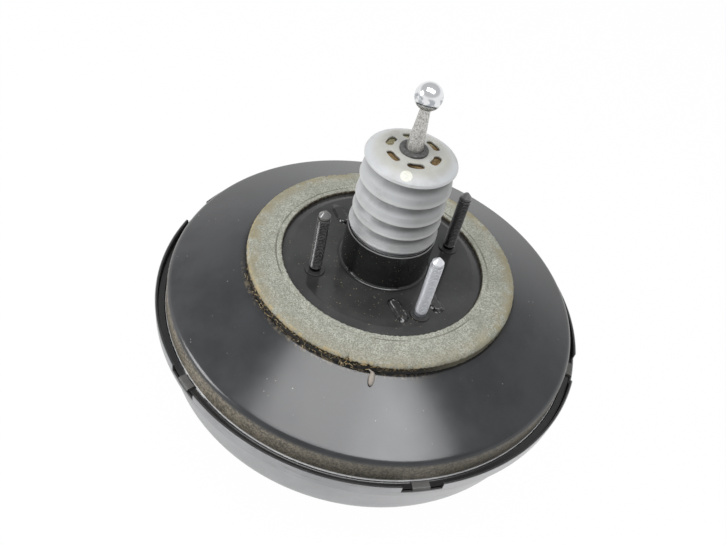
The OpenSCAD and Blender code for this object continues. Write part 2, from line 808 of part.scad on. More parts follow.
rear_shell();
front_shell();
foam_gasket();
bulkhead_stud(0);  // bulkhead_stud_1
bulkhead_stud(1);  // bulkhead_stud_2
bulkhead_stud(2);  // bulkhead_stud_3
rear_brace();
guide_bush();
neck_seal();
boot();
front_brace();
cylinder_stud(-1);  // cylinder_stud_1
cylinder_stud(1);  // cylinder_stud_2
front_seal();
valve_grommet();
check_valve();
valve_body();
diaphragm_plate();
diaphragm();
return_spring();
reaction_disc();
output_rod();
stop_key();
poppet_valve();
poppet_spring();
spring_retainer();
air_filter();
plunger();
rod_spring();
input_rod();
rod_bush();
boot_felt();
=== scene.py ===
# %% [markdown]
# # A vacuum brake booster, pedal side up
# A brake booster stands between the brake pedal and the master cylinder and adds force
# to the push of the foot. Here lie a black housing of two pressed shells, a foam ring
# that seals against the bulkhead, three studs, grey bellows and a polished pedal rod.
#
# Almost all of it is round. So each piece below is a profile taken round an axis, or a
# ring carried along a path, worked out in numpy. The lists hold millimetres, and the
# meshes get metres.

import math
import bpy
import numpy as np
from mathutils import Matrix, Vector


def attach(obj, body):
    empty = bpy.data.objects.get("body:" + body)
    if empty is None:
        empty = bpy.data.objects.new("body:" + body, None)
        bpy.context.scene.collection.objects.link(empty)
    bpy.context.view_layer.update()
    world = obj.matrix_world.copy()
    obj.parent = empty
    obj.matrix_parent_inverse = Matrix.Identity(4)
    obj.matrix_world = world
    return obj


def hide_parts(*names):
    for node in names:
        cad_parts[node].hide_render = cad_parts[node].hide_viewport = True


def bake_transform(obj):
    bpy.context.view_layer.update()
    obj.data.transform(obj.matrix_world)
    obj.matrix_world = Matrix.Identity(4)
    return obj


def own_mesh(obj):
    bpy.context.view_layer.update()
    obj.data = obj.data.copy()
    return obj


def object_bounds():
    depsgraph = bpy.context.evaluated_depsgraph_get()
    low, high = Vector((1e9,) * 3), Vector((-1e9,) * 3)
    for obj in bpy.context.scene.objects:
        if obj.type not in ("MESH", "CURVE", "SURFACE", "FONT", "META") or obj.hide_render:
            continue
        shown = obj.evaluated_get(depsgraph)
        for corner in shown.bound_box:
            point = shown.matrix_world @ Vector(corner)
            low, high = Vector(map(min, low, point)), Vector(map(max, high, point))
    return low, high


MM = 0.001
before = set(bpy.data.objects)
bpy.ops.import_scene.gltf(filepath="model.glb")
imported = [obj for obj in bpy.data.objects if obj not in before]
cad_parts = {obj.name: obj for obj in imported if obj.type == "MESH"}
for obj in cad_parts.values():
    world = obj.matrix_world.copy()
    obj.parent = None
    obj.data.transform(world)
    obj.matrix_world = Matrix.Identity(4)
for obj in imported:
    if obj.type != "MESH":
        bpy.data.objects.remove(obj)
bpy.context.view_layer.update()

# %% [markdown]
# ## Camera
# A photo of round parts says where its camera stood: each circle about the axis shows
# as an ellipse, and only one camera gives all of them at once. This one comes from a
# fit of the rim, the shoulder, the foam ring, the ridges of the bellows and the ball.
# The view transform is Standard, so that a written colour comes out as it is written.

# %% Camera
PHOTO_WIDTH = 726      # pixels
FOCAL_LENGTH = 720     # pixels
SENSOR = 36.0          # millimetres

camera_data = bpy.data.cameras.new("photo_camera")
camera_data.sensor_width = SENSOR
camera_data.lens = FOCAL_LENGTH * SENSOR / PHOTO_WIDTH
camera_data.clip_start = 0.01
camera = bpy.data.objects.new("photo_camera", camera_data)
bpy.context.collection.objects.link(camera)
camera.location = (0.0613307, -0.3420775, 0.3203163)
camera.rotation_euler = (0.7813874, -0.1812769, 0.3874697)
bpy.context.scene.camera = camera
bpy.context.scene.view_settings.view_transform = "Standard"
print("lens:", round(camera_data.lens, 1), "mm")

# %% [markdown]
# ## Profiles
# Pressed, turned and moulded parts could be put together from cylinders and bevels. A
# line of (radius, height, rounding) points is shorter, and it holds the whole shape in
# one place. The first tool turns each sharp corner of such a line into an arc.

# %% Rounded corners
def rounded(points, steps=6):
    """Each (r, z, q) with q above 0 becomes an arc of radius q that touches both sides.

    The arc starts q / tan(half angle) from the corner, and its centre lies
    q / sin(half angle) from it along the bisector.
    """
    out = []
    for i, (r, z, q) in enumerate(points):
        b = np.array([r, z], float)
        if q == 0:
            out.append(b)
            continue
        u = np.array(points[i - 1][:2]) - b
        v = np.array(points[i + 1][:2]) - b
        u /= np.linalg.norm(u)
        v /= np.linalg.norm(v)
        half = math.acos(np.clip(u @ v, -1, 1)) / 2
        middle = (u + v) / np.linalg.norm(u + v)
        centre = b + middle * q / math.sin(half)
        start = b + u * q / math.tan(half) - centre
        stop = b + v * q / math.tan(half) - centre
        a0 = math.atan2(start[1], start[0])
        turn = (math.atan2(stop[1], stop[0]) - a0 + math.pi) % (2 * math.pi) - math.pi
        a = a0 + turn * np.arange(steps + 1) / steps
        out.extend(centre + q * np.stack([np.cos(a), np.sin(a)], 1))
    return np.array(out)


print("one rounded corner:", len(rounded([(0, 0, 0), (10, 0, 2), (10, 10, 0)])), "points")

# %% [markdown]
# A pressed sheet keeps its thickness round a bend. So its other side is the same line
# moved sideways by the thickness, and not a scaled copy. Where the corners are rounded
# after the move, the roundings shrink or grow by the wall too.

# %% A line beside a line
def beside(line, t):
    """The line moved to its right by t.

    Each point goes along m, the bisector of the normals of its two stretches, by
    t / (m . n), where n is either normal.
    """
    d = np.diff(line, axis=0)
    n = np.stack([d[:, 1], -d[:, 0]], 1) / np.linalg.norm(d, axis=1)[:, None]
    before = np.vstack([n[:1], n])
    after = np.vstack([n, n[-1:]])
    m = before + after
    m /= np.linalg.norm(m, axis=1)[:, None]
    return line + m * (t / np.sum(m * after, axis=1))[:, None]


def further_in(points, t):
    """Corner points moved to the right by t, with roundings that shrink or grow by t."""
    flat = np.array([p[:2] for p in points], float)
    moved = beside(flat, t)
    before = np.diff(flat, axis=0, prepend=flat[:1])
    after = np.diff(flat, axis=0, append=flat[-1:])
    bend = before[:, 0] * after[:, 1] - before[:, 1] * after[:, 0]
    return [(m[0], m[1], 0 if p[2] == 0 else max(p[2] - t, 0.2) if b < 0 else p[2] + t)
            for m, p, b in zip(moved, points, bend)]


upright = np.array([(0.0, 0.0), (0.0, 5.0)])
print("an upright line moved 1 mm:", beside(upright, 1.0).tolist())

# %% [markdown]
# Long straight stretches get extra points, so that faces stay small where a pad or a
# wave is to lift them. A loop out along one side and back along the other closes a
# sheet, and its hidden side may have larger steps.

# %% Closer points and closed sheets
def refined(line, step):
    """The same line with extra points, so that no two lie further apart than step."""
    out = [line[:1]]
    for a, b in zip(line[:-1], line[1:]):
        count = max(1, math.ceil(np.linalg.norm(b - a) / step))
        out.append(a + (b - a) * (np.arange(1, count + 1) / count)[:, None])
    return np.vstack(out)


def closed_sheet(line, t, step, inner_step):
    """A loop round a sheet of thickness t: the line outwards, then its inner side back."""
    return np.vstack([refined(line, step), refined(beside(line, t)[::-1], inner_step)])


stretch = refined(np.array([(0.0, 0.0), (10.0, 0.0)]), 3.0)
print("a stretch of 10 mm in steps of 3 mm:", len(stretch), "points")

# %% [markdown]
# ## Surfaces
# A surface is a grid of points: rows along the profile, columns round the axis. Blender
# has a Screw modifier for this, but a grid can be displaced with numpy before it
# becomes a mesh, and its faces all come from one rule. The signed volume says whether
# they point inwards, which a render can hide.

# %% From a grid to a solid
def add_mesh(name, points, faces, material):
    """A smooth mesh in the scene, with one material."""
    mesh = bpy.data.meshes.new(name)
    mesh.from_pydata(points.tolist(), [], faces)
    mesh.polygons.foreach_set("use_smooth", np.ones(len(mesh.polygons), bool))
    mesh.materials.append(material)
    obj = bpy.data.objects.new(name, mesh)
    bpy.context.collection.objects.link(obj)
    print(name + ":", len(faces), "faces")
    return obj


def solid_from(name, grid, material, wrap_rows=True, sharp=35, caps=False):
    """A mesh whose faces join (i, j), (i + 1, j), (i + 1, j + 1) and (i, j + 1) of the grid.

    The signed volume, the sum of a . (b x c) / 6 over the triangles, says whether the
    faces point outwards. If it is negative, they are turned round.
    """
    rows, columns = grid.shape[:2]
    last_row = rows if wrap_rows else rows - 1
    i, j = (k.ravel() for k in np.meshgrid(np.arange(last_row), np.arange(columns), indexing="ij"))
    i2, j2 = (i + 1) % rows, (j + 1) % columns
    faces = np.stack([i * columns + j, i2 * columns + j, i2 * columns + j2, i * columns + j2], 1)
    points = grid.reshape(-1, 3) * MM
    a, b, c, d = (points[faces[:, k]] for k in range(4))
    volume = np.sum(a * np.cross(b, c)) + np.sum(a * np.cross(c, d))
    faces = faces.tolist()
    if caps:
        first = list(range(columns))
        last = [(rows - 1) * columns + k for k in range(columns)]
        faces += [first[::-1], last]
    if volume < 0:
        faces = [f[::-1] for f in faces]
    obj = add_mesh(name, points, faces, material)
    obj.data.set_sharp_from_angle(angle=math.radians(sharp))
    obj.data.update()
    return obj


print("defined: add_mesh, solid_from")

# %% [markdown]
# A turned piece, such as a shell or the rod, repeats its profile at even angles round
# the Z axis. Few angles show as corners on the outline, so wide pieces get more.

# %% Turned pieces
def full_turn(count):
    return np.arange(count) * 360 / count


def turned_grid(loop, angles):
    """Points (r cos a, r sin a, z) for each profile point and each angle in degrees."""
    a = np.radians(angles)[None, :]
    r, z = loop[:, :1], loop[:, 1:2]
    return np.stack([r * np.cos(a), r * np.sin(a), z + 0 * a], 2)


def turned(name, loop, material, count, sharp=35):
    """A closed profile taken round the Z axis."""
    grid = turned_grid(np.array(loop, float), full_turn(count))
    return solid_from(name, grid, material, sharp=sharp)


print("eight even angles:", full_turn(8).tolist())

# %% [markdown]
# ## Finishes
# Paint, rubber, foam and steel all start from one Principled shader. What is the same
# all over a piece is set on its sockets, and only what changes from place to place
# comes from nodes.

# %% A new finish
def new_finish(name, **values):
    """A material with one Principled shader, whose plain values are set by name."""
    material = bpy.data.materials.new(name)
    material.use_nodes = True
    tree = material.node_tree
    tree.nodes.clear()
    out = tree.nodes.new("ShaderNodeOutputMaterial")
    shader = tree.nodes.new("ShaderNodeBsdfPrincipled")
    tree.links.new(shader.outputs[0], out.inputs[0])
    for key, value in values.items():
        shader.inputs[key.replace("_", " ")].default_value = value
    return material, tree, shader


def put(tree, target, value):
    """Links a socket, or sets a plain value."""
    if isinstance(value, bpy.types.NodeSocket):
        tree.links.new(value, target)
    else:
        target.default_value = value


print("defined: new_finish, put")

# %% [markdown]
# Two textures do most of the work. Noise makes clouds, stains and grain, by its size.
# A Voronoi texture scatters single points, for specks of dust. Both read Object
# coordinates, so they stay on the piece when it moves and need no UV map.

# %% Clouds, grain and specks
def place(tree, scale=(1, 1, 1)):
    """Object coordinates, stretched by scale."""
    coords = tree.nodes.new("ShaderNodeTexCoord").outputs["Object"]
    if tuple(scale) == (1, 1, 1):
        return coords
    mapping = tree.nodes.new("ShaderNodeMapping")
    mapping.inputs["Scale"].default_value = scale
    tree.links.new(coords, mapping.inputs["Vector"])
    return mapping.outputs[0]


def noise(tree, size, detail=3, rough=0.55, at=None, seed=0.0):
    """Noise whose grains are about size metres wide; its values lie round 0.5."""
    n = tree.nodes.new("ShaderNodeTexNoise")
    n.noise_dimensions = "4D"
    n.inputs["Scale"].default_value = 1 / size
    n.inputs["Detail"].default_value = detail
    n.inputs["Roughness"].default_value = rough
    n.inputs["W"].default_value = seed
    tree.links.new(at or place(tree), n.inputs["Vector"])
    return n.outputs["Fac"]


def specks(tree, size, seed=0.0):
    """Distance to the nearest of scattered points, in cells of size metres."""
    n = tree.nodes.new("ShaderNodeTexVoronoi")
    n.voronoi_dimensions = "4D"
    n.inputs["Scale"].default_value = 1 / size
    n.inputs["W"].default_value = seed
    tree.links.new(place(tree), n.inputs["Vector"])
    return n.outputs["Distance"]


print("defined: place, noise, specks")

# %% [markdown]
# Masks are numbers from 0 to 1. A smooth step makes one from a height or a noise value,
# and a product keeps only the places where all of several masks hold.

# %% Masks
def math_node(tree, operation, a, b=0.0, clamp=False):
    n = tree.nodes.new("ShaderNodeMath")
    n.operation = operation
    n.use_clamp = clamp
    put(tree, n.inputs[0], a)
    put(tree, n.inputs[1], b)
    return n.outputs[0]


def times(tree, *values):
    """The product of several sockets or numbers."""
    out = values[0]
    for value in values[1:]:
        out = math_node(tree, "MULTIPLY", out, value)
    return out


def between(tree, value, low, high, out_low=0.0, out_high=1.0):
    """out_low where value is low, out_high where it is high, and a smooth step between."""
    n = tree.nodes.new("ShaderNodeMapRange")
    n.interpolation_type = "SMOOTHSTEP"
    put(tree, n.inputs["Value"], value)
    n.inputs["From Min"].default_value = low
    n.inputs["From Max"].default_value = high
    n.inputs["To Min"].default_value = out_low
    n.inputs["To Max"].default_value = out_high
    return n.outputs[0]


def inside(tree, value, low, high, soft):
    """1 where value lies from low to high, with edges that fade over soft."""
    above = between(tree, value, low - soft, low)
    return times(tree, above, between(tree, value, high, high + soft, 1.0, 0.0))


def zone(tree, value, start, full, fade, gone):
    """0 up to start, 1 from full to fade, and 0 again from gone on."""
    return times(tree, between(tree, value, start, full), between(tree, value, gone, fade))


def noise_mask(tree, low, high, size, *shape, seed=0.0):
    """0 where the noise is below low, and 1 where it is above high."""
    return between(tree, noise(tree, size, *shape, seed=seed), low, high)


print("defined: math_node, times, between, inside, zone, noise_mask")

# %% [markdown]
# Dirt and wear depend on where a point is: how far from the axis, how high, on which
# side. Vector nodes measure it from the Object coordinates.

# %% Where a point lies
def vector_node(tree, operation, a, b=None):
    """A vector node: b is a fixed vector, and LENGTH takes none."""
    n = tree.nodes.new("ShaderNodeVectorMath")
    n.operation = operation
    tree.links.new(a, n.inputs[0])
    if b:
        n.inputs[1].default_value = b
    return n


def axis_distance(tree, x=0.0, y=0.0):
    """Distance from an upright line: the length of (X - x, Y - y, 0)."""
    moved = vector_node(tree, "SUBTRACT", place(tree), (x, y, 0)).outputs[0]
    flat = vector_node(tree, "MULTIPLY", moved, (1, 1, 0)).outputs[0]
    return vector_node(tree, "LENGTH", flat).outputs["Value"]


def spot(tree, x, y, z, radius, soft):
    """1 within radius of a point, fading to 0 over soft."""
    reach = vector_node(tree, "DISTANCE", place(tree), (x, y, z)).outputs["Value"]
    return between(tree, reach, radius, radius + soft, 1.0, 0.0)


def towards(tree, x, y, low, high, out_low=0.0, out_high=1.0):
    """A mask by side: it goes from out_low to out_high as X x + Y y goes from low to high."""
    reach = vector_node(tree, "DOT_PRODUCT", place(tree), (x, y, 0)).outputs["Value"]
    return between(tree, reach, low, high, out_low, out_high)


def coordinate(tree, axis):
    """X, Y or Z, for axis 0, 1 or 2."""
    split = tree.nodes.new("ShaderNodeSeparateXYZ")
    tree.links.new(place(tree), split.inputs[0])
    return split.outputs[axis]


print("defined: axis_distance, spot, towards, coordinate")

# %% [markdown]
# A mask then lays one colour over another, and a height field tilts the normals for
# grain that is too fine for the mesh.

# %% Colour over colour, and fine relief
def mixed(tree, share, a, b):
    """Colour a where share is 0 and colour b where it is 1."""
    n = tree.nodes.new("ShaderNodeMix")
    n.data_type = "RGBA"
    put(tree, n.inputs["Factor"], share)
    for socket, colour in ((n.inputs[6], a), (n.inputs[7], b)):
        put(tree, socket, colour if isinstance(colour, bpy.types.NodeSocket) else (*colour, 1))
    return n.outputs[2]


def bumpy(tree, shader, height, distance, strength):
    """Tilts the normals as if the surface rose by height times distance."""
    n = tree.nodes.new("ShaderNodeBump")
    n.inputs["Strength"].default_value = strength
    n.inputs["Distance"].default_value = distance
    tree.links.new(height, n.inputs["Height"])
    tree.links.new(n.outputs[0], shader.inputs["Normal"])


print("defined: mixed, bumpy")

# %% [markdown]
# ## Black paint
# The rear shell is pressed steel under black paint. Its neck and mounting face are
# glossy, and its cone is duller, with a bluish haze and fine dark grains. Distance from
# the axis says which zone a point is in, and noise makes it patchy. A painted picture
# could do the same, but it would need a UV map and a size in pixels.

# %% Ground colour of each zone
FACE_ZONE = (0.03, 0.032, 0.066, 0.07)         # metres from the axis
CONE_ZONE = (0.088, 0.095, 0.1368, 0.1378)
PAINT_DARK, PAINT_GREY = (0.012, 0.012, 0.0122), (0.02, 0.02, 0.0202)
FACE_FILM = (0.04, 0.04, 0.039)
CONE_HAZE, CONE_HAZE_LIT = (0.03, 0.032, 0.035), (0.045, 0.046, 0.048)
CONE_GRAIN = (0.008, 0.008, 0.008)


def zone_colour(tree, r, cloud, grains):
    """Black with a film on the mounting face, and on the cone a haze, paler on the left as painted light, and
    dark grains.
    """
    black = mixed(tree, between(tree, cloud, 0.35, 0.7), PAINT_DARK, PAINT_GREY)
    film = times(tree, zone(tree, r, *FACE_ZONE), between(tree, cloud, 0.3, 0.65, 0.45, 1.0))
    black = mixed(tree, film, black, FACE_FILM)
    on_cone = zone(tree, r, *CONE_ZONE)
    # Towards the left the haze is paler: painted light.
    left = towards(tree, -0.9, -0.3, 0.06, 0.12)
    haze = times(tree, on_cone, between(tree, cloud, 0.3, 0.7, 0.5, 1.0))
    hazy = mixed(tree, haze, black, mixed(tree, left, CONE_HAZE, CONE_HAZE_LIT))
    dark = times(tree, on_cone, between(tree, grains, 0.66, 0.78), 0.5)
    return mixed(tree, dark, hazy, CONE_GRAIN), dark


print("defined: zone_colour")

# %% [markdown]
# Three kinds of dust lie on the paint: golden dots on the neck and on the face towards
# the front, a few pale dots all over, and brown crumbs on the cone where the foam's torn
# edge sheds. Dots come from Voronoi cells, and noise gathers them in clouds.

# %% Dust on the paint
GOLD_DUST, PALE_DUST, CRUMBS = (0.42, 0.34, 0.19), (0.42, 0.42, 0.4), (0.16, 0.13, 0.085)


def gold_dots(tree, r):
    """Fine dots within about 60 mm of the axis, with fewer towards the back."""
    dots = between(tree, specks(tree, 0.0014, seed=4.0), 0.21, 0.12)
    clouds = noise_mask(tree, 0.4, 0.58, 0.008, 3, seed=7.0)
    front = towards(tree, -0.3, -0.95, -0.02, 0.05, 0.25, 1.0)
    return times(tree, dots, between(tree, r, 0.066, 0.06), clouds, front)


def dusted(tree, r, colour, gold):
    """The colour under golden dots, pale dots and crumbs."""
    colour = mixed(tree, gold, colour, GOLD_DUST)
    dots = between(tree, specks(tree, 0.0034, seed=9.0), 0.12, 0.07)
    clouds = noise_mask(tree, 0.4, 0.6, 0.02, 3, seed=17.0)
    colour = mixed(tree, times(tree, dots, clouds, 0.8), colour, PALE_DUST)
    crumbs = times(tree, inside(tree, r, 0.0895, 0.0915, 0.0012),
                   towards(tree, -0.2, -0.98, 0.05, 0.075),
                   noise_mask(tree, 0.46, 0.6, 0.003, 4, 0.7, seed=6.0), 0.6)
    return mixed(tree, crumbs, colour, CRUMBS)


print("defined: gold_dots, dusted")

# %% [markdown]
# Brown road dirt covers the upright wall under the shoulder, where spray reaches and
# nobody wipes. It is paler on the left. A grey painted highlight lies on the rim of the
# neck, and a bright painted highlight along the foot of the wall.

# %% Road dirt, and painted highlights on the edges
WALL_ZONE, FOOT_ZONE = (0.1364, 0.1373, 0.139, 0.1395), (0.1371, 0.138, 0.1394, 0.1402)
DIRT_BROWN = (0.09, 0.083, 0.068)
DIRT_TAN, DIRT_TAN_LEFT = (0.21, 0.19, 0.15), (0.31, 0.27, 0.205)
NECK_RIM_HIGHLIGHT, WALL_FOOT_HIGHLIGHT = (0.3, 0.3, 0.3), (0.75, 0.75, 0.75)


def dirty_wall(tree, r, z, colour):
    """Dirt on the upright wall, from just under the shoulder down to the flange."""
    on_wall = times(tree, zone(tree, r, *WALL_ZONE), between(tree, z, -0.0408, -0.0398))
    under_shoulder = between(tree, z, -0.0262, -0.0292)
    patches = between(tree, noise(tree, 0.005, 5, 0.65, seed=8.0), 0.3, 0.5, 0.72, 0.97)
    dirt = times(tree, on_wall, under_shoulder, patches)
    left = towards(tree, -0.9, -0.45, 0.0, 0.12)
    tan = mixed(tree, left, DIRT_TAN, DIRT_TAN_LEFT)
    grain = noise_mask(tree, 0.35, 0.65, 0.0012, 3, seed=2.0)
    return mixed(tree, dirt, colour, mixed(tree, grain, DIRT_BROWN, tan)), dirt


def rim_and_foot_highlights(tree, r, z, colour):
    """Painted highlights: a grey one on the rim of the neck, and a bright one along the foot of the wall."""
    rim = times(tree, between(tree, z, 0.0263, 0.0269), between(tree, r, 0.0275, 0.0281), 0.8)
    colour = mixed(tree, rim, colour, NECK_RIM_HIGHLIGHT)
    foot = times(tree, inside(tree, z, -0.0408, -0.0399, 0.0002), zone(tree, r, *FOOT_ZONE))
    return mixed(tree, times(tree, foot, 0.95), colour, WALL_FOOT_HIGHLIGHT)


print("defined: dirty_wall, rim_and_foot_highlights")

# %% [markdown]
# The pads on the mounting face stand out only by their edges: painted shade in deep
# black outside, and broken painted glints inside. The mesh knows best where they are, so
# it will carry a number at each point, named pad, that the shader reads.

# %% Painted shade and glints at the pads
PAD_SHADE, PAD_GLINT = (0.003, 0.003, 0.003), (0.4, 0.4, 0.4)


def pads_with_shade_and_glints(tree, colour):
    """Painted shade in black where the attribute pad is above 0, and broken painted glints where it is below.
    """
    pad = tree.nodes.new("ShaderNodeAttribute")
    pad.attribute_name = "pad"
    colour = mixed(tree, between(tree, pad.outputs["Fac"], 0.15, 0.6), colour, PAD_SHADE)
    broken = noise_mask(tree, 0.5, 0.62, 0.003, 3, seed=31.0)
    glints = times(tree, between(tree, pad.outputs["Fac"], -0.2, -0.8), broken)
    return mixed(tree, glints, colour, PAD_GLINT)


print("defined: pads_with_shade_and_glints")

# %% [markdown]
# The layers now go on top of each other. Dust, dirt and grains also make the paint
# rougher where they lie, and a faint orange-peel relief breaks up its mirror.

# %% Black paint
def black_paint():
    material, tree, shader = new_finish("black_paint", Specular_IOR_Level=0.5)
    r, z = axis_distance(tree), coordinate(tree, 2)
    cloud = noise(tree, 0.03, 4, 0.6)
    grains = noise(tree, 0.0006, 2, 0.6, seed=3.0)
    colour, dark = zone_colour(tree, r, cloud, grains)
    gold = gold_dots(tree, r)
    colour, dirt = dirty_wall(tree, r, z, dusted(tree, r, colour, gold))
    colour = pads_with_shade_and_glints(tree, rim_and_foot_highlights(tree, r, z, colour))
    tree.links.new(colour, shader.inputs["Base Color"])
    clean = between(tree, r, 0.061, 0.068, 0.15, 0.21)
    clouded = math_node(tree, "ADD", clean, between(tree, cloud, 0.3, 0.7, -0.03, 0.04))
    dusty = math_node(tree, "ADD", times(tree, dirt, 0.5), times(tree, gold, 0.4))
    added = math_node(tree, "ADD", dusty, times(tree, dark, 0.3))
    tree.links.new(math_node(tree, "ADD", clouded, added, clamp=True), shader.inputs["Roughness"])
    peel = noise(tree, 0.0016, 2, 0.5, seed=5.0)
    bumpy(tree, shader, math_node(tree, "ADD", peel, times(tree, grains, 0.25)), 0.00002, 0.5)
    return material


paint = black_paint()
print("black paint:", len(paint.node_tree.nodes), "nodes")

# %% [markdown]
# ## Grey coat of the front shell
# The front shell has a thin metallic grey coat outside and is black inside its lip.
# Two materials on two sets of faces could do that. One shader with a mask by radius
# and height keeps the border independent of the faces. Grey streaks run round the
# wall under the lip, so their noise is stretched sideways and squeezed in height.

# %% Grey coat
COAT_DARK, COAT_PALE = (0.29, 0.293, 0.3), (0.37, 0.373, 0.38)
COAT_REFLECTION_RIGHT, COAT_BELLY = (0.6, 0.6, 0.605), (0.3, 0.3, 0.3)
STREAK, PIT = (0.2, 0.19, 0.17), (0.12, 0.1, 0.08)
CHANNEL_BLACK, CHANNEL_DUST = (0.012, 0.012, 0.012), (0.06, 0.055, 0.045)


def collar_finish():
    material, tree, shader = new_finish("collar_paint", Specular_IOR_Level=0.6)
    r, z = axis_distance(tree), coordinate(tree, 2)
    cloud = noise(tree, 0.025, 4, 0.6)
    streak = noise(tree, 0.01, 4, 0.6, at=place(tree, (0.35, 0.35, 6)), seed=2.0)
    fine = noise(tree, 0.0009, 2, 0.6, seed=5.0)
    coat = mixed(tree, between(tree, cloud, 0.35, 0.65), COAT_DARK, COAT_PALE)
    under_lip = between(tree, z, -0.052, -0.038)
    more = math_node(tree, "ADD", times(tree, under_lip, 0.5), 0.12)
    streaks = times(tree, between(tree, streak, 0.55, 0.68), more)
    coat = mixed(tree, streaks, coat, STREAK)
    coat = mixed(tree, times(tree, between(tree, fine, 0.66, 0.74), 0.5), coat, PIT)
    # Towards the right front the coat is paler: a painted reflection of the floor.
    coat = mixed(tree, towards(tree, 0.8, -0.3, 0.06, 0.14, 0.0, 0.6), coat, COAT_REFLECTION_RIGHT)
    coat = mixed(tree, between(tree, z, -0.08, -0.1, 0.0, 0.35), coat, COAT_BELLY)
    inner = times(tree, between(tree, r, 0.1448, 0.1444), between(tree, z, -0.0475, -0.0465))
    black = mixed(tree, between(tree, fine, 0.6, 0.72), CHANNEL_BLACK, CHANNEL_DUST)
    tree.links.new(mixed(tree, inner, coat, black), shader.inputs["Base Color"])
    tree.links.new(between(tree, inner, 0, 1, 0.75, 0.0), shader.inputs["Metallic"])
    rough = between(tree, cloud, 0.3, 0.7, 0.3, 0.4)
    rough = math_node(tree, "ADD", rough, times(tree, streaks, 0.3), clamp=True)
    tree.links.new(rough, shader.inputs["Roughness"])
    bumpy(tree, shader, noise(tree, 0.0016, 2, 0.5, seed=5.0), 0.00002, 0.5)
    return material


collar_paint = collar_finish()
print("grey coat:", len(collar_paint.node_tree.nodes), "nodes")

# %% [markdown]
# The bent tabs are duller and darker than the wall, since the press rubbed their coat.
# The one at the far left is painted lighter: a painted highlight.

# %% Coat of the tabs
TAB_DARK, TAB_GREY, TAB_LEFT_HIGHLIGHT = (0.05, 0.049, 0.047), (0.09, 0.088, 0.083), (0.32, 0.32, 0.32)


def tab_finish():
    material, tree, shader = new_finish("tab_paint", Specular_IOR_Level=0.6, Roughness=0.5)
    grey = mixed(tree, noise_mask(tree, 0.35, 0.65, 0.025, 4, 0.6), TAB_DARK, TAB_GREY)
    left = towards(tree, -1, 0, 0.11, 0.13)
    tree.links.new(mixed(tree, left, grey, TAB_LEFT_HIGHLIGHT), shader.inputs["Base Color"])
    bumpy(tree, shader, noise(tree, 0.0016, 2, 0.5, seed=5.0), 0.00002, 0.5)
    return material


tab_paint = tab_finish()
print("coat of the tabs:", len(tab_paint.node_tree.nodes), "nodes")

# %% [markdown]
# ## Rear shell
# The rear shell is drawn from one steel blank: a neck, a raised mounting face, a sunk
# seat for the foam, a cone, a rounded shoulder, an upright wall and a flange. Solid
# cylinders and cones would be simpler, but they have no thin edge to show at the neck.
# So one profile is taken round the axis as a sheet of even thickness.

# %% Rear shell profile
SHEET = 1.5                            # wall of both shells
NECK_R, NECK_H = 28.5, 27.0
FACE_R, STEP_R = 60.0, 69.0            # mounting face, and the step round it
SEAT_R, SEAT_Z = 90.5, -7.5            # foam seat
SHOULDER_R, SHOULDER_Z = 137.5, -26.0
WALL_R, FLANGE_Z = 138.3, -41.5        # foot of the upright wall
LIP_R, LIP_Z = 145.0, -37.0            # lip of the front shell

rear_line = rounded([
    (NECK_R, NECK_H, 0), (NECK_R, 0, 1.7), (FACE_R, 0, 4), (STEP_R - 1, -2, 2),
    (STEP_R, SEAT_Z, 1.6), (SEAT_R, SEAT_Z, 3), (SHOULDER_R, SHOULDER_Z, 5),
    (WALL_R, FLANGE_Z, 1.6), (LIP_R - SHEET - 0.6, FLANGE_Z, 0)], 8)
rear_grid = turned_grid(closed_sheet(rear_line, SHEET, 1.5, 14.0), full_turn(428))
print("rear shell grid, rows and columns:", rear_grid.shape[:2])

# %% [markdown]
# Four low pads with round ends, in two pairs, are pressed up from the mounting face.
# Separate lumps would show a seam round each pad. So the sheet itself rises: the
# distance from a pad's edge says how far each point goes up, and a smooth step softens
# the edge. The same distance fills the attribute pad, which the paint reads to lay
# painted shade round each pad and painted glints inside its edge.

# %% Pads
PAD_LENGTH, PAD_WIDTH, PAD_RISE = 18.9, 7.9, 1.7
PAD_OUT, PAD_ASIDE = 44.7, 12.7        # from the axis to a pair, and from there to a pad
PAIRS = (-42, 135)                     # directions of the two pairs, in degrees


def step_up(x, start, stop):
    """0 before start, 1 after stop and t * t * (3 - 2 t) between them."""
    t = np.clip((x - start) / (stop - start), 0, 1)
    return t * t * (3 - 2 * t)


def obround_reach(x, y, length, width):
    """Distance outside an obround that lies along X: 0 on its edge, negative inside."""
    beyond = np.maximum(np.abs(x) - (length - width) / 2, 0)
    return np.hypot(beyond, y) - width / 2


pad_mark = np.zeros(rear_grid.shape[:2])
for pair in PAIRS:
    c, s = math.cos(math.radians(pair)), math.sin(math.radians(pair))
    for side in (-1, 1):
        x = rear_grid[..., 0] * c + rear_grid[..., 1] * s - PAD_OUT
        y = -rear_grid[..., 0] * s + rear_grid[..., 1] * c - side * PAD_ASIDE
        reach = obround_reach(x, y, PAD_LENGTH, PAD_WIDTH)
        on_face = np.abs(rear_grid[..., 2]) < 2
        # Painted shade round each pad's edge, and painted glints just inside it.
        outline = np.exp(-((reach + 0.4) / 0.7) ** 2)
        glint = 0.9 * np.exp(-((reach + 1.7) / 0.35) ** 2)
        pad_mark += on_face * (outline - glint)
        rear_grid[..., 2] += np.where(on_face, PAD_RISE * (1 - step_up(reach, -1.1, 0.1)), 0)
print("pads:", 2 * len(PAIRS))

# %% [markdown]
# The finished grid becomes a mesh. It takes the place of the model's plainer shell and
# rides on the housing, which doesn't move.

# %% Rear shell
rear_shell = solid_from("rear_shell_sheet", rear_grid, paint)
mark = rear_shell.data.attributes.new("pad", "FLOAT", "POINT")
mark.data.foreach_set("value", pad_mark.ravel().astype(np.float32))
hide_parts("rear_shell")
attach(rear_shell, "housing")

# %% [markdown]
# ## Front shell
# The front shell is a deeper pan. Its collar reaches up round the flange of the rear
# shell, and six notches are cut down into it. A Boolean cut could make the notches, but
# it would break up the even grid. So the points over a notch are pushed down instead.
# Two angles lie close together at each end of a notch, which makes its ends upright.

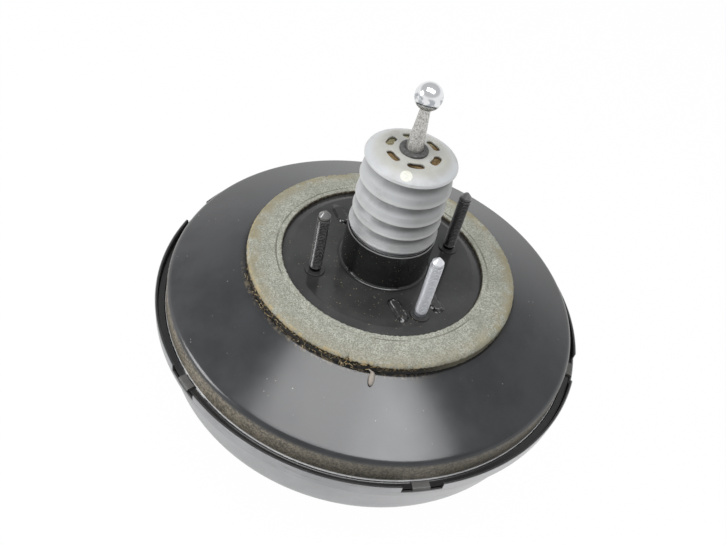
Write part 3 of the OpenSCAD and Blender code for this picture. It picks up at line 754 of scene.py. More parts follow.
# %% Front shell
LEDGE_Z = -46.7                        # where the collar steps in under the flange
FOOT_R, FOOT_Z = 134.5, -85.7          # foot of the tapered wall
NOSE_R, NOSE_Z = 58.0, -106.2          # face for the master cylinder
BORE_R, BORE_Z = 20.0, -94.2           # its bore
TABS = (4.6, 61.9, 119.3, 176.7, 239.7, 303.1)
NOTCH, NOTCH_Z = 25.0, -41.8

front_line = rounded([
    (LIP_R, LIP_Z, 0), (144.7, LEDGE_Z, 1.6), (141, LEDGE_Z, 1.6), (FOOT_R, FOOT_Z, 15),
    (66, -100.7, 5), (NOSE_R, NOSE_Z, 3), (BORE_R, NOSE_Z, 2), (BORE_R, BORE_Z, 0)], 8)
half_notch = math.degrees(NOTCH / 2 / (LIP_R + 2))
steps = (-half_notch - 0.01, -half_notch + 0.01, half_notch - 0.01, half_notch + 0.01)
edges = np.add.outer(TABS, steps).ravel() % 360
front_angles = np.unique(np.round(np.concatenate([full_turn(420), edges]), 4))
front_grid = turned_grid(closed_sheet(front_line, SHEET, 3.0, 10.0), front_angles)
off_tab = np.abs((front_angles[:, None] - TABS + 180) % 360 - 180).min(1)
lowered = np.minimum(front_grid[..., 2], NOTCH_Z)
front_grid[..., 2] = np.where(off_tab < half_notch, lowered, front_grid[..., 2])
front_shell = solid_from("front_shell_sheet", front_grid, collar_paint)
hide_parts("front_shell")
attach(front_shell, "housing")

# %% [markdown]
# In the middle of each notch a tab of the collar is bent inwards over the flange, and
# the tabs hold the two shells together. A bent strip could be a box with a Simple
# Deform modifier. Here its section, a line with one rounded bend, is taken a few
# degrees round the axis, so it fits the collar exactly.

# %% Tabs
TAB, TAB_R, TAB_TOP = 10.6, 144.6, -39.9

tab_line = rounded([(TAB_R, TAB_TOP - 3.5, 0), (TAB_R, TAB_TOP, 1.9), (139.4, TAB_TOP, 0)], 6)
tab_loop = np.vstack([tab_line, beside(tab_line, -SHEET)[::-1]])
half_tab = math.degrees(TAB / 2 / LIP_R)
for number, t in enumerate(TABS):
    grid = turned_grid(tab_loop, t + np.linspace(-half_tab, half_tab, 13))
    tab = solid_from(f"tab_{number}", grid.transpose(1, 0, 2), tab_paint, wrap_rows=False, caps=True)
    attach(tab, "housing")
print("tabs:", len(TABS))

# %% [markdown]
# The photo doesn't show the front. Such a booster has a check valve for the vacuum hose
# there, in a hollow boss. The boss is a small cup. It is turned about Z like the rest
# and then moved to the valve's own axis, which keeps its profile easy to read.

# %% Boss of the check valve
VALVE_Y = 95.0
BOSS_R, BOSS_Z = 17.0, -96.95

boss_line = rounded([(BOSS_R, -72, 0), (BOSS_R, BOSS_Z, 2), (9, BOSS_Z, 0)], 6)
boss_loop = np.vstack([boss_line, beside(boss_line, SHEET)[::-1]])
boss_grid = turned_grid(boss_loop, full_turn(96)) + np.array([0, VALVE_Y, 0])
boss = solid_from("valve_boss", boss_grid, collar_paint)
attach(boss, "housing")

# %% [markdown]
# ## Foam ring
# A ring of grey-green foam lies in the seat and seals the booster against the bulkhead.
# Its top is speckled with pores. A picture of foam could be laid on it, but noise works
# at every distance and has no seam round the ring.

# %% Top of the foam
FOAM_DARK, FOAM_PALE, FOAM_PORE = (0.36, 0.37, 0.32), (0.53, 0.53, 0.47), (0.21, 0.21, 0.17)
STRAW_DARK, STRAW_PALE, RIM_STRAW = (0.19, 0.165, 0.1), (0.37, 0.34, 0.24), (0.42, 0.34, 0.2)
INNER_EDGE_SHADE, CREASE_SHADE = (0.075, 0.06, 0.038), (0.06, 0.055, 0.04)


def foam_top(tree, r, fine):
    """Grey-green with pores, and straw-coloured stains towards the outer edge."""
    broad = noise(tree, 0.014, 4, 0.6)
    green = mixed(tree, between(tree, broad, 0.3, 0.7), FOAM_DARK, FOAM_PALE)
    speckled = mixed(tree, between(tree, fine, 0.38, 0.62), FOAM_PORE, green)
    straw = mixed(tree, noise(tree, 0.0012, 3, seed=6.0), STRAW_DARK, STRAW_PALE)
    back_left = towards(tree, -0.2, 0.98, -0.085, -0.02, 0.35, 1.0)
    patches = noise_mask(tree, 0.34, 0.56, 0.009, 4, 0.65, seed=4.0)
    stain = times(tree, between(tree, r, 0.077, 0.0868), back_left, patches)
    return mixed(tree, stain, speckled, straw)


def foam_edges(tree, r, fine, colour):
    """A straw rim at the front left, painted shade in brown along the inner edge, and painted shade along a
    crease beside it.
    """
    front_left = towards(tree, -0.55, -0.83, 0.0, 0.06)
    ragged = math_node(tree, "ADD", r, times(tree, fine, 0.0012))
    patches = noise_mask(tree, 0.42, 0.6, 0.003, 3, 0.7, seed=14.0)
    rim = times(tree, between(tree, ragged, 0.0876, 0.0888), patches, front_left)
    colour = mixed(tree, rim, colour, RIM_STRAW)
    ragged = math_node(tree, "ADD", r, times(tree, fine, 0.001))
    colour = mixed(tree, between(tree, ragged, 0.0679, 0.067), colour, INNER_EDGE_SHADE)
    broken = noise_mask(tree, 0.42, 0.55, 0.05, 2, seed=21.0)
    crease = times(tree, inside(tree, r, 0.0702, 0.0708, 0.0004), broken, 0.6)
    return mixed(tree, crease, colour, CREASE_SHADE)


print("defined: foam_top, foam_edges")

# %% [markdown]
# The upright side of the foam is almost black near its top, painted shade under the
# rounded edge, and dark grey lower down. It is paler at the back, and it sheds golden
# crumbs at the front. Height tells the side from the top.

# %% Side of the foam
SIDE_LOW, SIDE_SHADE = (0.045, 0.045, 0.043), (0.016, 0.013, 0.01)
SIDE_BACK, SIDE_GOLD = (0.15, 0.14, 0.1), (0.34, 0.25, 0.12)


def foam_side(tree, z):
    # Painted shade makes the side almost black near its top; lower down it is dark grey.
    side = mixed(tree, between(tree, z, -0.0052, -0.003), SIDE_LOW, SIDE_SHADE)
    back = towards(tree, 0.2, 0.98, -0.062, -0.04)
    side = mixed(tree, back, side, SIDE_BACK)
    crumbs = noise_mask(tree, 0.52, 0.62, 0.0014, 3, 0.6, seed=11.0)
    front = towards(tree, -0.2, -0.98, 0.045, 0.065)
    gold = times(tree, crumbs, between(tree, z, -0.0062, -0.003), front)
    return mixed(tree, gold, side, SIDE_GOLD)


def foam_finish():
    material, tree, shader = new_finish("foam", Roughness=0.95, Specular_IOR_Level=0.15)
    r, z = axis_distance(tree), coordinate(tree, 2)
    fine = noise(tree, 0.0007, 3, 0.75, seed=1.0)
    top = foam_edges(tree, r, fine, foam_top(tree, r, fine))
    on_side = between(tree, z, -0.0018, -0.0032)
    tree.links.new(mixed(tree, on_side, top, foam_side(tree, z)), shader.inputs["Base Color"])
    pores = times(tree, specks(tree, 0.0009, seed=2.0), 0.5)
    bumpy(tree, shader, math_node(tree, "ADD", fine, pores), 0.0005, 0.8)
    return material


foam_paint = foam_finish()
print("foam finish:", len(foam_paint.node_tree.nodes), "nodes")

# %% [markdown]
# The ring's top is nearly flat, its outer edge is torn in places, and a shallow crease
# runs near its inner edge. A Displace modifier could roughen it, but a torn edge moves
# sideways and only here and there. Sums of sines do that: they fit round the ring
# without a seam, and each part of the profile gets its own share of them.

# %% Foam ring
def waves(values, seed, lowest, highest, count=24):
    """A smooth random curve: sines of whole frequencies and random phases, with a spread of 1."""
    rng = np.random.default_rng(seed)
    k = rng.integers(lowest, highest + 1, count)
    p = rng.uniform(0, 2 * math.pi, count)
    return np.sin(np.multiply.outer(values, k) + p).sum(-1) / math.sqrt(count / 2)


FOAM_TOP, FOAM_LOW = 0.7, -7.4
FOAM_IN, FOAM_OUT = 66.5, 89.4

foam_loop = refined(rounded([
    (FOAM_IN, -1.1, 0), (68.9, -1.6, 0.8), (70.7, FOAM_LOW, 0), (89.2, FOAM_LOW, 0),
    (FOAM_OUT, FOAM_TOP, 3.2), (FOAM_IN, FOAM_TOP, 0.9), (FOAM_IN, -0.9, 0)], 5), 0.9)
turn = np.radians(full_turn(720))[None, :]
loop_r, loop_z = foam_loop[:, :1], foam_loop[:, 1:2]
outer_share = step_up(loop_r, 84, 89)
inner_share = step_up(-loop_r, -68.5, -66.8) * step_up(loop_z, -1.2, 0)
top_share = step_up(loop_z, -5, 0) * step_up(loop_r, 67, 69.5)

edge = 0.2 * waves(turn, 1, 3, 30) + 0.26 * waves(turn, 2, 40, 200)
torn = step_up(waves(turn, 3, 2, 12), 0.7, 1.7)
inward = outer_share * (0.3 + np.abs(edge) * (0.6 + 2.0 * torn))
inward = inward - inner_share * 0.16 * (1 + waves(turn, 6, 20, 160))
rough_top = 0.05 * waves(turn + loop_r * 0.9, 4, 30, 160) + 0.09 * waves(turn + loop_r * 0.2, 5, 2, 14)
crease = -0.3 * np.exp(-((loop_r - 70.5) / 0.6) ** 2)
foam_z = loop_z + top_share * (rough_top + crease - 0.2 - outer_share * torn * 0.8)
foam_r = loop_r - inward
foam_grid = np.stack([foam_r * np.cos(turn), foam_r * np.sin(turn), foam_z], 2)
foam = solid_from("foam_ring", foam_grid, foam_paint, sharp=70)
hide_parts("foam_gasket")
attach(foam, "housing")

# %% [markdown]
# Bits of straw stick out of the torn edge at the left and front, and a seed husk lies on
# the cone. A hair system could scatter straw, but it grows from a surface, and its
# strands have to become a mesh before they can be exported. So each bit is a spindle,
# a ring that widens and narrows along a line, and all of them are one mesh.

# %% Spindles
def spindles(name, centres, directions, lengths, widths, material, rings=7, sides=6):
    """Many spindles in one mesh, each round its own direction d.

    With u = d x Z, and v = d x u, a point is c + d t l / 2 + w s (u cos b + v sin b),
    where t goes from -1 to 1 and s is sqrt(1 - t t).
    """
    d = directions / np.linalg.norm(directions, axis=1)[:, None]
    u = np.cross(d, (0, 0, 1))
    u /= np.linalg.norm(u, axis=1)[:, None]
    v = np.cross(d, u)
    t = np.linspace(-0.995, 0.995, rings)[None, :, None, None]
    b = np.radians(full_turn(sides))[None, None, :, None]
    c, d, u, v = (k[:, None, None, :] for k in (centres, d, u, v))
    l, w = lengths[:, None, None, None], widths[:, None, None, None]
    grid = c + d * t * l / 2 + w * np.sqrt(1 - t * t) * (u * np.cos(b) + v * np.sin(b))
    count = len(centres)
    i, j, k = np.meshgrid(np.arange(count), np.arange(rings - 1), np.arange(sides), indexing="ij")
    corner = lambda j, k: ((i * rings + j) * sides + k % sides).ravel()
    around = [corner(j, k), corner(j, k + 1), corner(j + 1, k + 1), corner(j + 1, k)]
    faces = np.stack(around, 1).tolist()
    ends = np.arange(count)[:, None] * rings * sides + np.arange(sides)
    faces += ends[:, ::-1].tolist() + (ends + (rings - 1) * sides).tolist()
    obj = add_mesh(name, grid.reshape(-1, 3) * MM, faces, material)
    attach(obj, "housing")
    print("spindles:", count)


print("defined: spindles")

# %% [markdown]
# The straw lies roughly along the edge, in two clusters. Placing it by hand would take
# long and look too even. Normal draws give the clusters and a loose direction, and a
# fixed seed gives the same bits every time.

# %% Straw and husk
STRAW_BITS = 96
STRAW_BROWN, STRAW_YELLOW = (0.3, 0.2, 0.08), (0.72, 0.58, 0.33)
HUSK_DARK, HUSK_PALE = (0.16, 0.14, 0.12), (0.42, 0.38, 0.33)

straw_paint, tree, shader = new_finish("straw", Roughness=0.7)
straw_colour = mixed(tree, noise(tree, 0.002, 3), STRAW_BROWN, STRAW_YELLOW)
tree.links.new(straw_colour, shader.inputs["Base Color"])
husk_paint, tree, shader = new_finish("husk", Roughness=0.6)
husk_colour = mixed(tree, noise(tree, 0.0012, 3), HUSK_DARK, HUSK_PALE)
tree.links.new(husk_colour, shader.inputs["Base Color"])

rng = np.random.default_rng(11)
half = STRAW_BITS // 2
angle = np.radians(np.concatenate([rng.normal(-122, 11, half), rng.normal(-88, 9, half)]))
reach = rng.uniform(88.6, 91.2, STRAW_BITS)
height = rng.uniform(-6.4, -0.8, STRAW_BITS) - np.maximum(reach - 90, 0)
where = np.stack([reach * np.cos(angle), reach * np.sin(angle), height], 1)
lie = np.stack([-np.sin(angle), np.cos(angle), 0 * angle], 1) + rng.normal(0, 0.6, (STRAW_BITS, 3))
spindles("straw_bits", where, lie, rng.uniform(0.8, 3.4, STRAW_BITS),
         rng.uniform(0.07, 0.17, STRAW_BITS), straw_paint)
spindles("seed_husk", np.array([(28.5, -89.6, -7.4), (26.6, -86.4, -5.6)]),
         np.array([(0.25, -0.9, -0.38), (-0.8, 0.25, 0.1)]),
         np.array([9.0, 4.2]), np.array([1.9, 0.5]), husk_paint, rings=11, sides=10)

# %% [markdown]
# ## Studs
# Three studs stand on the mounting face, two blackened and one of bright zinc. Metal is
# one shader with its Metallic at 1, which makes it mirror its surroundings. Clean metal
# looks false, so noise mixes a darker film in and varies the gloss.

# %% Metal finishes
def metal_finish(name, colour, dark, roughness):
    material, tree, shader = new_finish(name, Metallic=1.0)
    cloud = noise(tree, 0.006, 4, 0.6)
    fine = noise(tree, 0.0009, 3, 0.6, seed=2.0)
    clouds = times(tree, between(tree, cloud, 0.4, 0.7), 0.3)
    flecks = times(tree, between(tree, fine, 0.55, 0.75), 0.21)
    share = math_node(tree, "ADD", clouds, flecks)
    tree.links.new(mixed(tree, share, colour, dark), shader.inputs["Base Color"])
    gloss = between(tree, cloud, 0.3, 0.7, roughness * 0.8, min(roughness * 1.3, 1))
    tree.links.new(gloss, shader.inputs["Roughness"])
    bumpy(tree, shader, fine, 0.00003, 0.5)
    return material


zinc = metal_finish("zinc", (0.78, 0.78, 0.77), (0.45, 0.44, 0.4), 0.3)
print("zinc:", len(zinc.node_tree.nodes), "nodes")

# %% [markdown]
# The crests of a thread and the tip of a stud get a paler colour, a painted highlight.
# The roots keep a darker one: the black of the blackened studs, and painted shade on the
# zinc one. The Geometry node's Pointiness could find crests, but it depends on how fine
# the mesh is. The distance from the stud's own axis tells crest from root at any fineness.

# %% Thread finish
def thread_finish(name, x, y, crest, root, roughness, metallic):
    """The colour root in the thread's roots, and crest, a painted highlight, on its crests and near the tip.
    """
    material, tree, shader = new_finish(name, Metallic=metallic, Roughness=roughness)
    out = axis_distance(tree, x * MM, y * MM)
    fine = noise(tree, 0.0012, 3, 0.6, seed=2.0)
    crest_highlight = times(tree, between(tree, out, 0.0038, 0.00398), between(tree, fine, 0.35, 0.6, 0.3, 1.0))
    tip_highlight = between(tree, coordinate(tree, 2), 0.0424, 0.0434, 0.0, 0.6)
    high = math_node(tree, "ADD", crest_highlight, tip_highlight, clamp=True)
    tree.links.new(mixed(tree, high, root, crest), shader.inputs["Base Color"])
    bumpy(tree, shader, fine, 0.00003, 0.5)
    return material


print("defined: thread_finish")

# %% [markdown]
# A thread is a ripple that climbs by one pitch each turn. A Screw modifier can build
# one, but its ends are hard to close. Here the shank is a turned grid, and the radius
# falls from crest to root and back as the height over the pitch, less the turn, goes
# from one whole number to the next. The ring at the foot is painted with the shell.

# %% Studs
STUD_R, STUD_LENGTH, PITCH = 4.0, 48.0, 1.25


def stud(name, x, y, material, depth):
    """A stud along Z: a ring at its foot, a shank, a thread, a groove and a pilot with a cone."""
    r, length = STUD_R, STUD_LENGTH
    ring = [(0.01, -1.5), (6.5, -1.5), (6.5, 0.8), (6.25, 1.2), (r - 0.35, 1.22)]
    shank = np.stack([np.full(440, r), np.linspace(1.3, length - 5.2, 440)], 1)
    tip = [(r * 0.78, length - 5.1), (r * 0.78, length - 4.1), (r * 0.9, length - 3.95),
           (r * 0.9, length - 2.7), (r * 0.32, length - 0.1), (r * 0.22, length), (0.01, length)]
    rows = np.vstack([ring, shank, tip])
    a = np.radians(full_turn(40))[None, :]
    rr, zz = rows[:, :1], rows[:, 1:2]
    on_shank = rr == r
    phase = (zz / PITCH - a / (2 * math.pi)) % 1
    on_thread = step_up(zz, 3.5, 5) * step_up(-zz, -(length - 5.3), -(length - 6.5)) * on_shank
    narrow = 0.3 * on_shank * step_up(-zz, -4.2, -3.4)
    radius = rr - depth * np.abs(phase * 2 - 1) * on_thread - narrow
    grid = np.stack([radius * np.cos(a) + x, radius * np.sin(a) + y, zz + 0 * a], 2)
    piece = solid_from(name, grid, paint, wrap_rows=False, sharp=28)
    piece.data.materials.append(material)
    painted = (len(ring) - 1) * grid.shape[1]
    index = (np.arange(len(piece.data.polygons)) >= painted).astype(np.int32)
    piece.data.polygons.foreach_set("material_index", index)
    return piece


# Each look holds the colour of the crests, a painted highlight, the colour of the roots, the roughness and
# the metallic.
BLACK = ((0.26, 0.26, 0.255), (0.003, 0.003, 0.003), 0.22, 0.3)
PALE = ((0.97, 0.98, 1.0), (0.36, 0.37, 0.4), 0.3, 0.55)
STUDS = ((-34, -34.8, BLACK, 0.6), (34.9, 33.2, BLACK, 0.6), (37.6, -34.8, PALE, 0.35))
for number, (x, y, look, depth) in enumerate(STUDS, 1):
    finish = thread_finish(f"thread_{number}", x, y, *look)
    piece = stud(f"bulkhead_stud_piece_{number}", x, y, finish, depth)
    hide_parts(f"bulkhead_stud_{number}")
    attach(piece, "housing")
print("studs:", len(STUDS))

# %% [markdown]
# ## Bellows
# Grey rubber bellows keep dust out of the neck. Rubber lets a little light in, so the
# shader gets some subsurface scattering. Painted shade lies in a band under each ridge,
# and a mask per ridge, made from its height, puts it there.

# %% Rubber
RIDGES = (80.6, 65.6, 51.6, 41.4)
RUBBER, RUBBER_DUST, RUBBER_SHADE = (0.49, 0.5, 0.51), (0.27, 0.26, 0.235), (0.2, 0.2, 0.19)
CAP_DUST, FOLD_SHADE = (0.4, 0.395, 0.355), (0.14, 0.14, 0.137)
RIDGE_HIGHLIGHT, PAINT_DOT = (0.62, 0.62, 0.6), (0.74, 0.74, 0.64)


def shade_under_ridges(tree, z):
    """1 on a band of some 8 mm under each ridge, where shade is painted."""
    shadow = 0.0
    for ridge in RIDGES:
        top = ridge * MM
        band = zone(tree, z, top - 0.0085, top - 0.003, top - 0.0008, top - 0.0001)
        shadow = math_node(tree, "ADD", shadow, band, clamp=True)
    return shadow


def rubber_colour(tree, z, broad, fine):
    """Pale rubber under dust, with a dustier cap and a darker right side."""
    low = between(tree, z, 0.06, 0.034, 0.0, 0.1)
    dust = math_node(tree, "ADD", low, between(tree, broad, 0.45, 0.72, 0.0, 0.35), clamp=True)
    flecks = times(tree, between(tree, fine, 0.6, 0.75), 0.3)
    dust = math_node(tree, "ADD", dust, flecks, clamp=True)
    colour = mixed(tree, dust, RUBBER, RUBBER_DUST)
    right = times(tree, towards(tree, 0.98, -0.2, 0.006, 0.024, 0.0, 0.55),
                  between(tree, z, 0.081, 0.0785))
    colour = mixed(tree, right, colour, RUBBER_SHADE)
    cap = times(tree, between(tree, z, 0.083, 0.0858), between(tree, broad, 0.35, 0.65, 0.7, 1.0))
    return mixed(tree, cap, colour, CAP_DUST)


def rubber_marks(tree, r, z, broad, fine, colour):
    """Painted shade in the folds, painted highlights on the ridge lips, and the pale dot on the cap."""
    # Painted shade under the ridges, stronger towards the right.
    more = towards(tree, 0.95, 0.2, -0.02, 0.02, 0.5, 0.85)
    dirt = times(tree, shade_under_ridges(tree, z), more, between(tree, broad, 0.3, 0.6, 0.7, 1.0))
    colour = mixed(tree, dirt, colour, FOLD_SHADE)
    # Pale ridge lips from 38 mm up: a painted highlight.
    ridge_highlight = times(tree, between(tree, r, 0.0274, 0.0279), between(tree, z, 0.034, 0.038), 0.45)
    colour = mixed(tree, ridge_highlight, colour, RIDGE_HIGHLIGHT)
    dot = spot(tree, 0.0040, -0.0228, 0.0841, 0.0032, 0.0004)
    patchy = between(tree, fine, 0.35, 0.6, 0.45, 0.8)
    return mixed(tree, times(tree, dot, patchy), colour, PAINT_DOT)


def rubber_finish():
    material, tree, shader = new_finish("boot_rubber", Subsurface_Weight=0.1)
    shader.inputs["Subsurface Radius"].default_value = (0.004, 0.004, 0.003)
    r, z = axis_distance(tree), coordinate(tree, 2)
    broad = noise(tree, 0.011, 4, 0.6)
    fine = noise(tree, 0.0009, 3, 0.6, seed=3.0)
    colour = rubber_marks(tree, r, z, broad, fine, rubber_colour(tree, z, broad, fine))
    tree.links.new(colour, shader.inputs["Base Color"])
    tree.links.new(between(tree, broad, 0.3, 0.7, 0.3, 0.42), shader.inputs["Roughness"])
    bumpy(tree, shader, fine, 0.00006, 0.4)
    return material


boot_finish = rubber_finish()
print("rubber:", len(boot_finish.node_tree.nodes), "nodes")

# %% [markdown]
# The profile goes from the cap down over four sharp ridges to a locking bead, and a
# recess parts the bead from the neck. Rings could be scaled by hand in Edit Mode, but
# uneven folds are easier to place from a list of ridge heights. The inside is the same
# line moved in by the wall.

# %% Boot
BOOT_R, BOOT_WALL = 28.0, 1.6
CAP_IN, CAP_Z = 6.9, 86.4
BEAD_Z, TAIL_R, TAIL_Z = 30.8, 25.1, 19.0


def fold(z, lower):
    """One fold: the ridge at z, the groove under it and the bulge above the next ridge."""
    return [(BOOT_R, z, 0.5), (BOOT_R - 3.8, z - 3, 1), (BOOT_R - 0.95, (z - 3 + lower) / 2, 2)]


boot_top = [(CAP_IN, CAP_Z, 0), (BOOT_R - 8, CAP_Z - 0.4, 8), (BOOT_R - 0.6, RIDGES[0] + 1.6, 1.6)]
for z, lower in zip(RIDGES, (*RIDGES[1:], BEAD_Z + 1.4)):
    boot_top += fold(z, lower)
boot_outside = boot_top + [
    (BOOT_R - 0.1, BEAD_Z + 1.2, 0.4), (BOOT_R + 0.3, BEAD_Z + 0.4, 0.3),
    (BOOT_R + 0.3, BEAD_Z - 0.6, 0.3), (TAIL_R, BEAD_Z - 1.2, 0.3),
    (TAIL_R, 26, 0.3), (26.9, 25.2, 0.3), (26.9, TAIL_Z, 0)]
boot_inside = further_in(boot_top + [(TAIL_R, BEAD_Z - 1.2, 1), (TAIL_R, TAIL_Z, 0)], BOOT_WALL)
outside_line = refined(rounded(boot_outside, 6), 1.2)
inside_line = refined(rounded(boot_inside, 5)[::-1], 2.5)
boot = turned("boot_bellows", np.vstack([outside_line, inside_line]), boot_finish, 192, sharp=40)

# %% [markdown]
# Air for the booster goes in through six curved slots in the cap. They are real holes
# with sharp edges, so a Boolean cut is right here: a bar of two arcs and two half
# circles stands through the cap, and the exact solver takes it away.

# %% Slots
SLOTS, FIRST_SLOT = 6, 54.8


def arc(x, y, radius, start, stop, count):
    """Points (x + radius cos a, y + radius sin a) as a goes from start to stop."""
    a = np.linspace(start, stop, count)
    return np.stack([x + radius * np.cos(a), y + radius * np.sin(a)], 1)


def slot_bar(at, sweep=22.4, r=14.6, width=4.8):
    """A bar that stands through the cap: two arcs about the axis, joined by half circles."""
    a0, a1 = math.radians(at - sweep / 2), math.radians(at + sweep / 2)
    ring = np.vstack([
        arc(0, 0, r + width / 2, a0, a1, 17),
        arc(r * math.cos(a1), r * math.sin(a1), width / 2, a1, a1 + math.pi, 13)[1:-1],
        arc(0, 0, r - width / 2, a1, a0, 17),
        arc(r * math.cos(a0), r * math.sin(a0), width / 2, a0 + math.pi, a0 + 2 * math.pi, 13)[1:-1]])
    rows = np.stack([np.column_stack([ring, np.full(len(ring), z)]) for z in (80.0, 90.0)])
    return solid_from("slot_bar", rows, boot_finish, wrap_rows=False, caps=True)


for k in range(SLOTS):
    bar = slot_bar(FIRST_SLOT + 360 / SLOTS * k)
    cut = boot.modifiers.new("slot", "BOOLEAN")
    cut.operation = "DIFFERENCE"
    cut.object = bar
    cut.solver = "EXACT"
    bpy.context.view_layer.update()
    shape = boot.evaluated_get(bpy.context.evaluated_depsgraph_get())
    boot.data = bpy.data.meshes.new_from_object(shape)
    boot.modifiers.clear()
    bpy.data.objects.remove(bar)
print("boot with slots:", len(boot.data.polygons), "faces")

# %% [markdown]
# The cap rides on the pedal rod. As the power piston goes in by 36 mm, the bellows fold
# up over the neck. The share of their height above the neck that is then left is printed.

# %% Boot and piston
PISTON_TRAVEL = 36

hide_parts("boot")
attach(boot, "pedal_rod")
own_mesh(boot)
print("share that is left:", round((CAP_Z - NECK_H - PISTON_TRAVEL) / (CAP_Z - NECK_H), 3))

# %% [markdown]
# Under the slots lies a felt disc that filters the air. It is brown, greener at the back
# left. Hair could be its fibres, but they would be far too many to model for what the
# slots show, and a strong fine relief gives the same broken look.

# %% Felt disc
FELT_BROWN = ((0.12, 0.08, 0.04), (0.33, 0.23, 0.12))
FELT_GREEN = ((0.2, 0.18, 0.1), (0.5, 0.47, 0.31))
FELT_SHADE, FELT_DIRT = (0.02, 0.015, 0.01), (0.05, 0.035, 0.018)


def felt_finish():
    material, tree, shader = new_finish("felt", Roughness=1.0, Specular_IOR_Level=0.05)
    fine = noise(tree, 0.0006, 4, 0.7)
    fibres = between(tree, fine, 0.35, 0.65)
    back_left = towards(tree, -0.6, 0.8, 0.004, 0.012)
    colour = mixed(tree, back_left, mixed(tree, fibres, *FELT_BROWN), mixed(tree, fibres, *FELT_GREEN))
    front = towards(tree, 0.1, -1.0, 0.0115, 0.0135, 0.0, 0.9)
    colour = mixed(tree, front, colour, FELT_SHADE)
    patches = noise_mask(tree, 0.52, 0.75, 0.004, 3, 0.6, seed=2.0)
    tree.links.new(mixed(tree, patches, colour, FELT_DIRT), shader.inputs["Base Color"])
    bumpy(tree, shader, fine, 0.001, 1.0)
    return material


FELT_IN, FELT_LOW, FELT_HIGH = 7.0, 79.1, 83.9
felt_line = rounded([
    (FELT_IN, FELT_LOW, 0), (18.0, FELT_LOW, 0.8), (18.6, FELT_HIGH, 0.8),
    (FELT_IN, FELT_HIGH, 0), (FELT_IN, FELT_LOW + 0.1, 0)], 3)
felt = turned("felt_disc", refined(felt_line, 0.7), felt_finish(), 128, sharp=60)
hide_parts("boot_felt")
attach(felt, "pedal_rod")

# %% [markdown]
# A dark plastic bush holds the cap on the rod. It is a plain turned ring with a flange.
# Moulded plastic is never quite even, so it gets grey clouds and a faint grain.

# %% Bush
BUSH_DARK, BUSH_GREY = (0.045, 0.046, 0.047), (0.11, 0.108, 0.1)

plastic, tree, shader = new_finish("dark_plastic", Roughness=0.5)
bush_clouds = noise_mask(tree, 0.4, 0.7, 0.002, 4)
tree.links.new(mixed(tree, bush_clouds, BUSH_DARK, BUSH_GREY), shader.inputs["Base Color"])
bumpy(tree, shader, noise(tree, 0.0008, 3, seed=4.0), 0.00005, 0.5)
bush_line = rounded([
    (5.24, 79.1, 0), (6.78, 79.1, 0), (6.78, 86.5, 0), (8.6, 86.5, 0.2),
    (8.6, 88.0, 0.5), (5.3, 88.0, 0.3), (5.24, 87, 0)], 4)
bush = turned("bush_ring", bush_line, plastic, 96)
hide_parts("rod_bush")
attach(bush, "pedal_rod")

# %% [markdown]
# ## Pedal rod
# The rod is turned steel, polished on the ball that the pedal grips. The ball mirrors
# the room down to a line below its middle, and under it the metal is rough and
# brown-grey. So height decides between two finishes in one shader.

# %% Finish of the rod
SHANK_PALE, SHANK_PIT, SHANK_FILM = (0.62, 0.615, 0.6), (0.25, 0.24, 0.22), (0.3, 0.285, 0.26)
BALL_BRIGHT, BALL_PIT, BALL_REFLECTION_BLUE = (0.8, 0.805, 0.815), (0.42, 0.41, 0.4), (0.3, 0.32, 0.35)


def rod_material():
    material, tree, shader = new_finish("polished_steel", Metallic=1.0)
    z = coordinate(tree, 2)
    cloud = noise(tree, 0.005, 4, 0.65)
    pits = noise(tree, 0.0007, 3, 0.7, seed=2.0)
    shank = mixed(tree, between(tree, pits, 0.42, 0.66), SHANK_PALE, SHANK_PIT)
    shank = mixed(tree, between(tree, cloud, 0.5, 0.68, 0.0, 0.45), shank, SHANK_FILM)
    bright = mixed(tree, between(tree, pits, 0.62, 0.72, 0.0, 0.3), BALL_BRIGHT, BALL_PIT)
    # Grey-blue blots in a band round the ball: a painted reflection.
    patches = noise_mask(tree, 0.45, 0.58, 0.0035, 3, seed=6.0)
    reflected_blots = times(tree, inside(tree, z, 0.1195, 0.1238, 0.0016), patches, 0.8)
    bright = mixed(tree, reflected_blots, bright, BALL_REFLECTION_BLUE)
    on_ball = between(tree, z, 0.1182, 0.1196)
    tree.links.new(mixed(tree, on_ball, shank, bright), shader.inputs["Base Color"])
    rough = between(tree, pits, 0.35, 0.65, 0.24, 0.5)
    on_shank = times(tree, rough, between(tree, on_ball, 0, 1, 1.0, 0.0))
    rough = math_node(tree, "ADD", on_shank, times(tree, on_ball, 0.13))
    tree.links.new(rough, shader.inputs["Roughness"])
    height = times(tree, pits, between(tree, on_ball, 0, 1, 1.0, 0.03))
    bumpy(tree, shader, height, 0.00005, 0.6)
    return material


rod_finish = rod_material()
print("rod finish:", len(rod_finish.node_tree.nodes), "nodes")

# %% [markdown]
# One profile goes from the inner ball over the spring collar and the shank to the
# outer ball. A UV sphere on a cylinder would need a clean joint between them. In a
# turned profile an arc simply follows the shank, and the ball is round all the way.

# %% Rod
INNER_BALL, BALL_R, BALL_Z = 5, 8, 122
SHANK_R, COLLAR_R = 3.8, 8.4

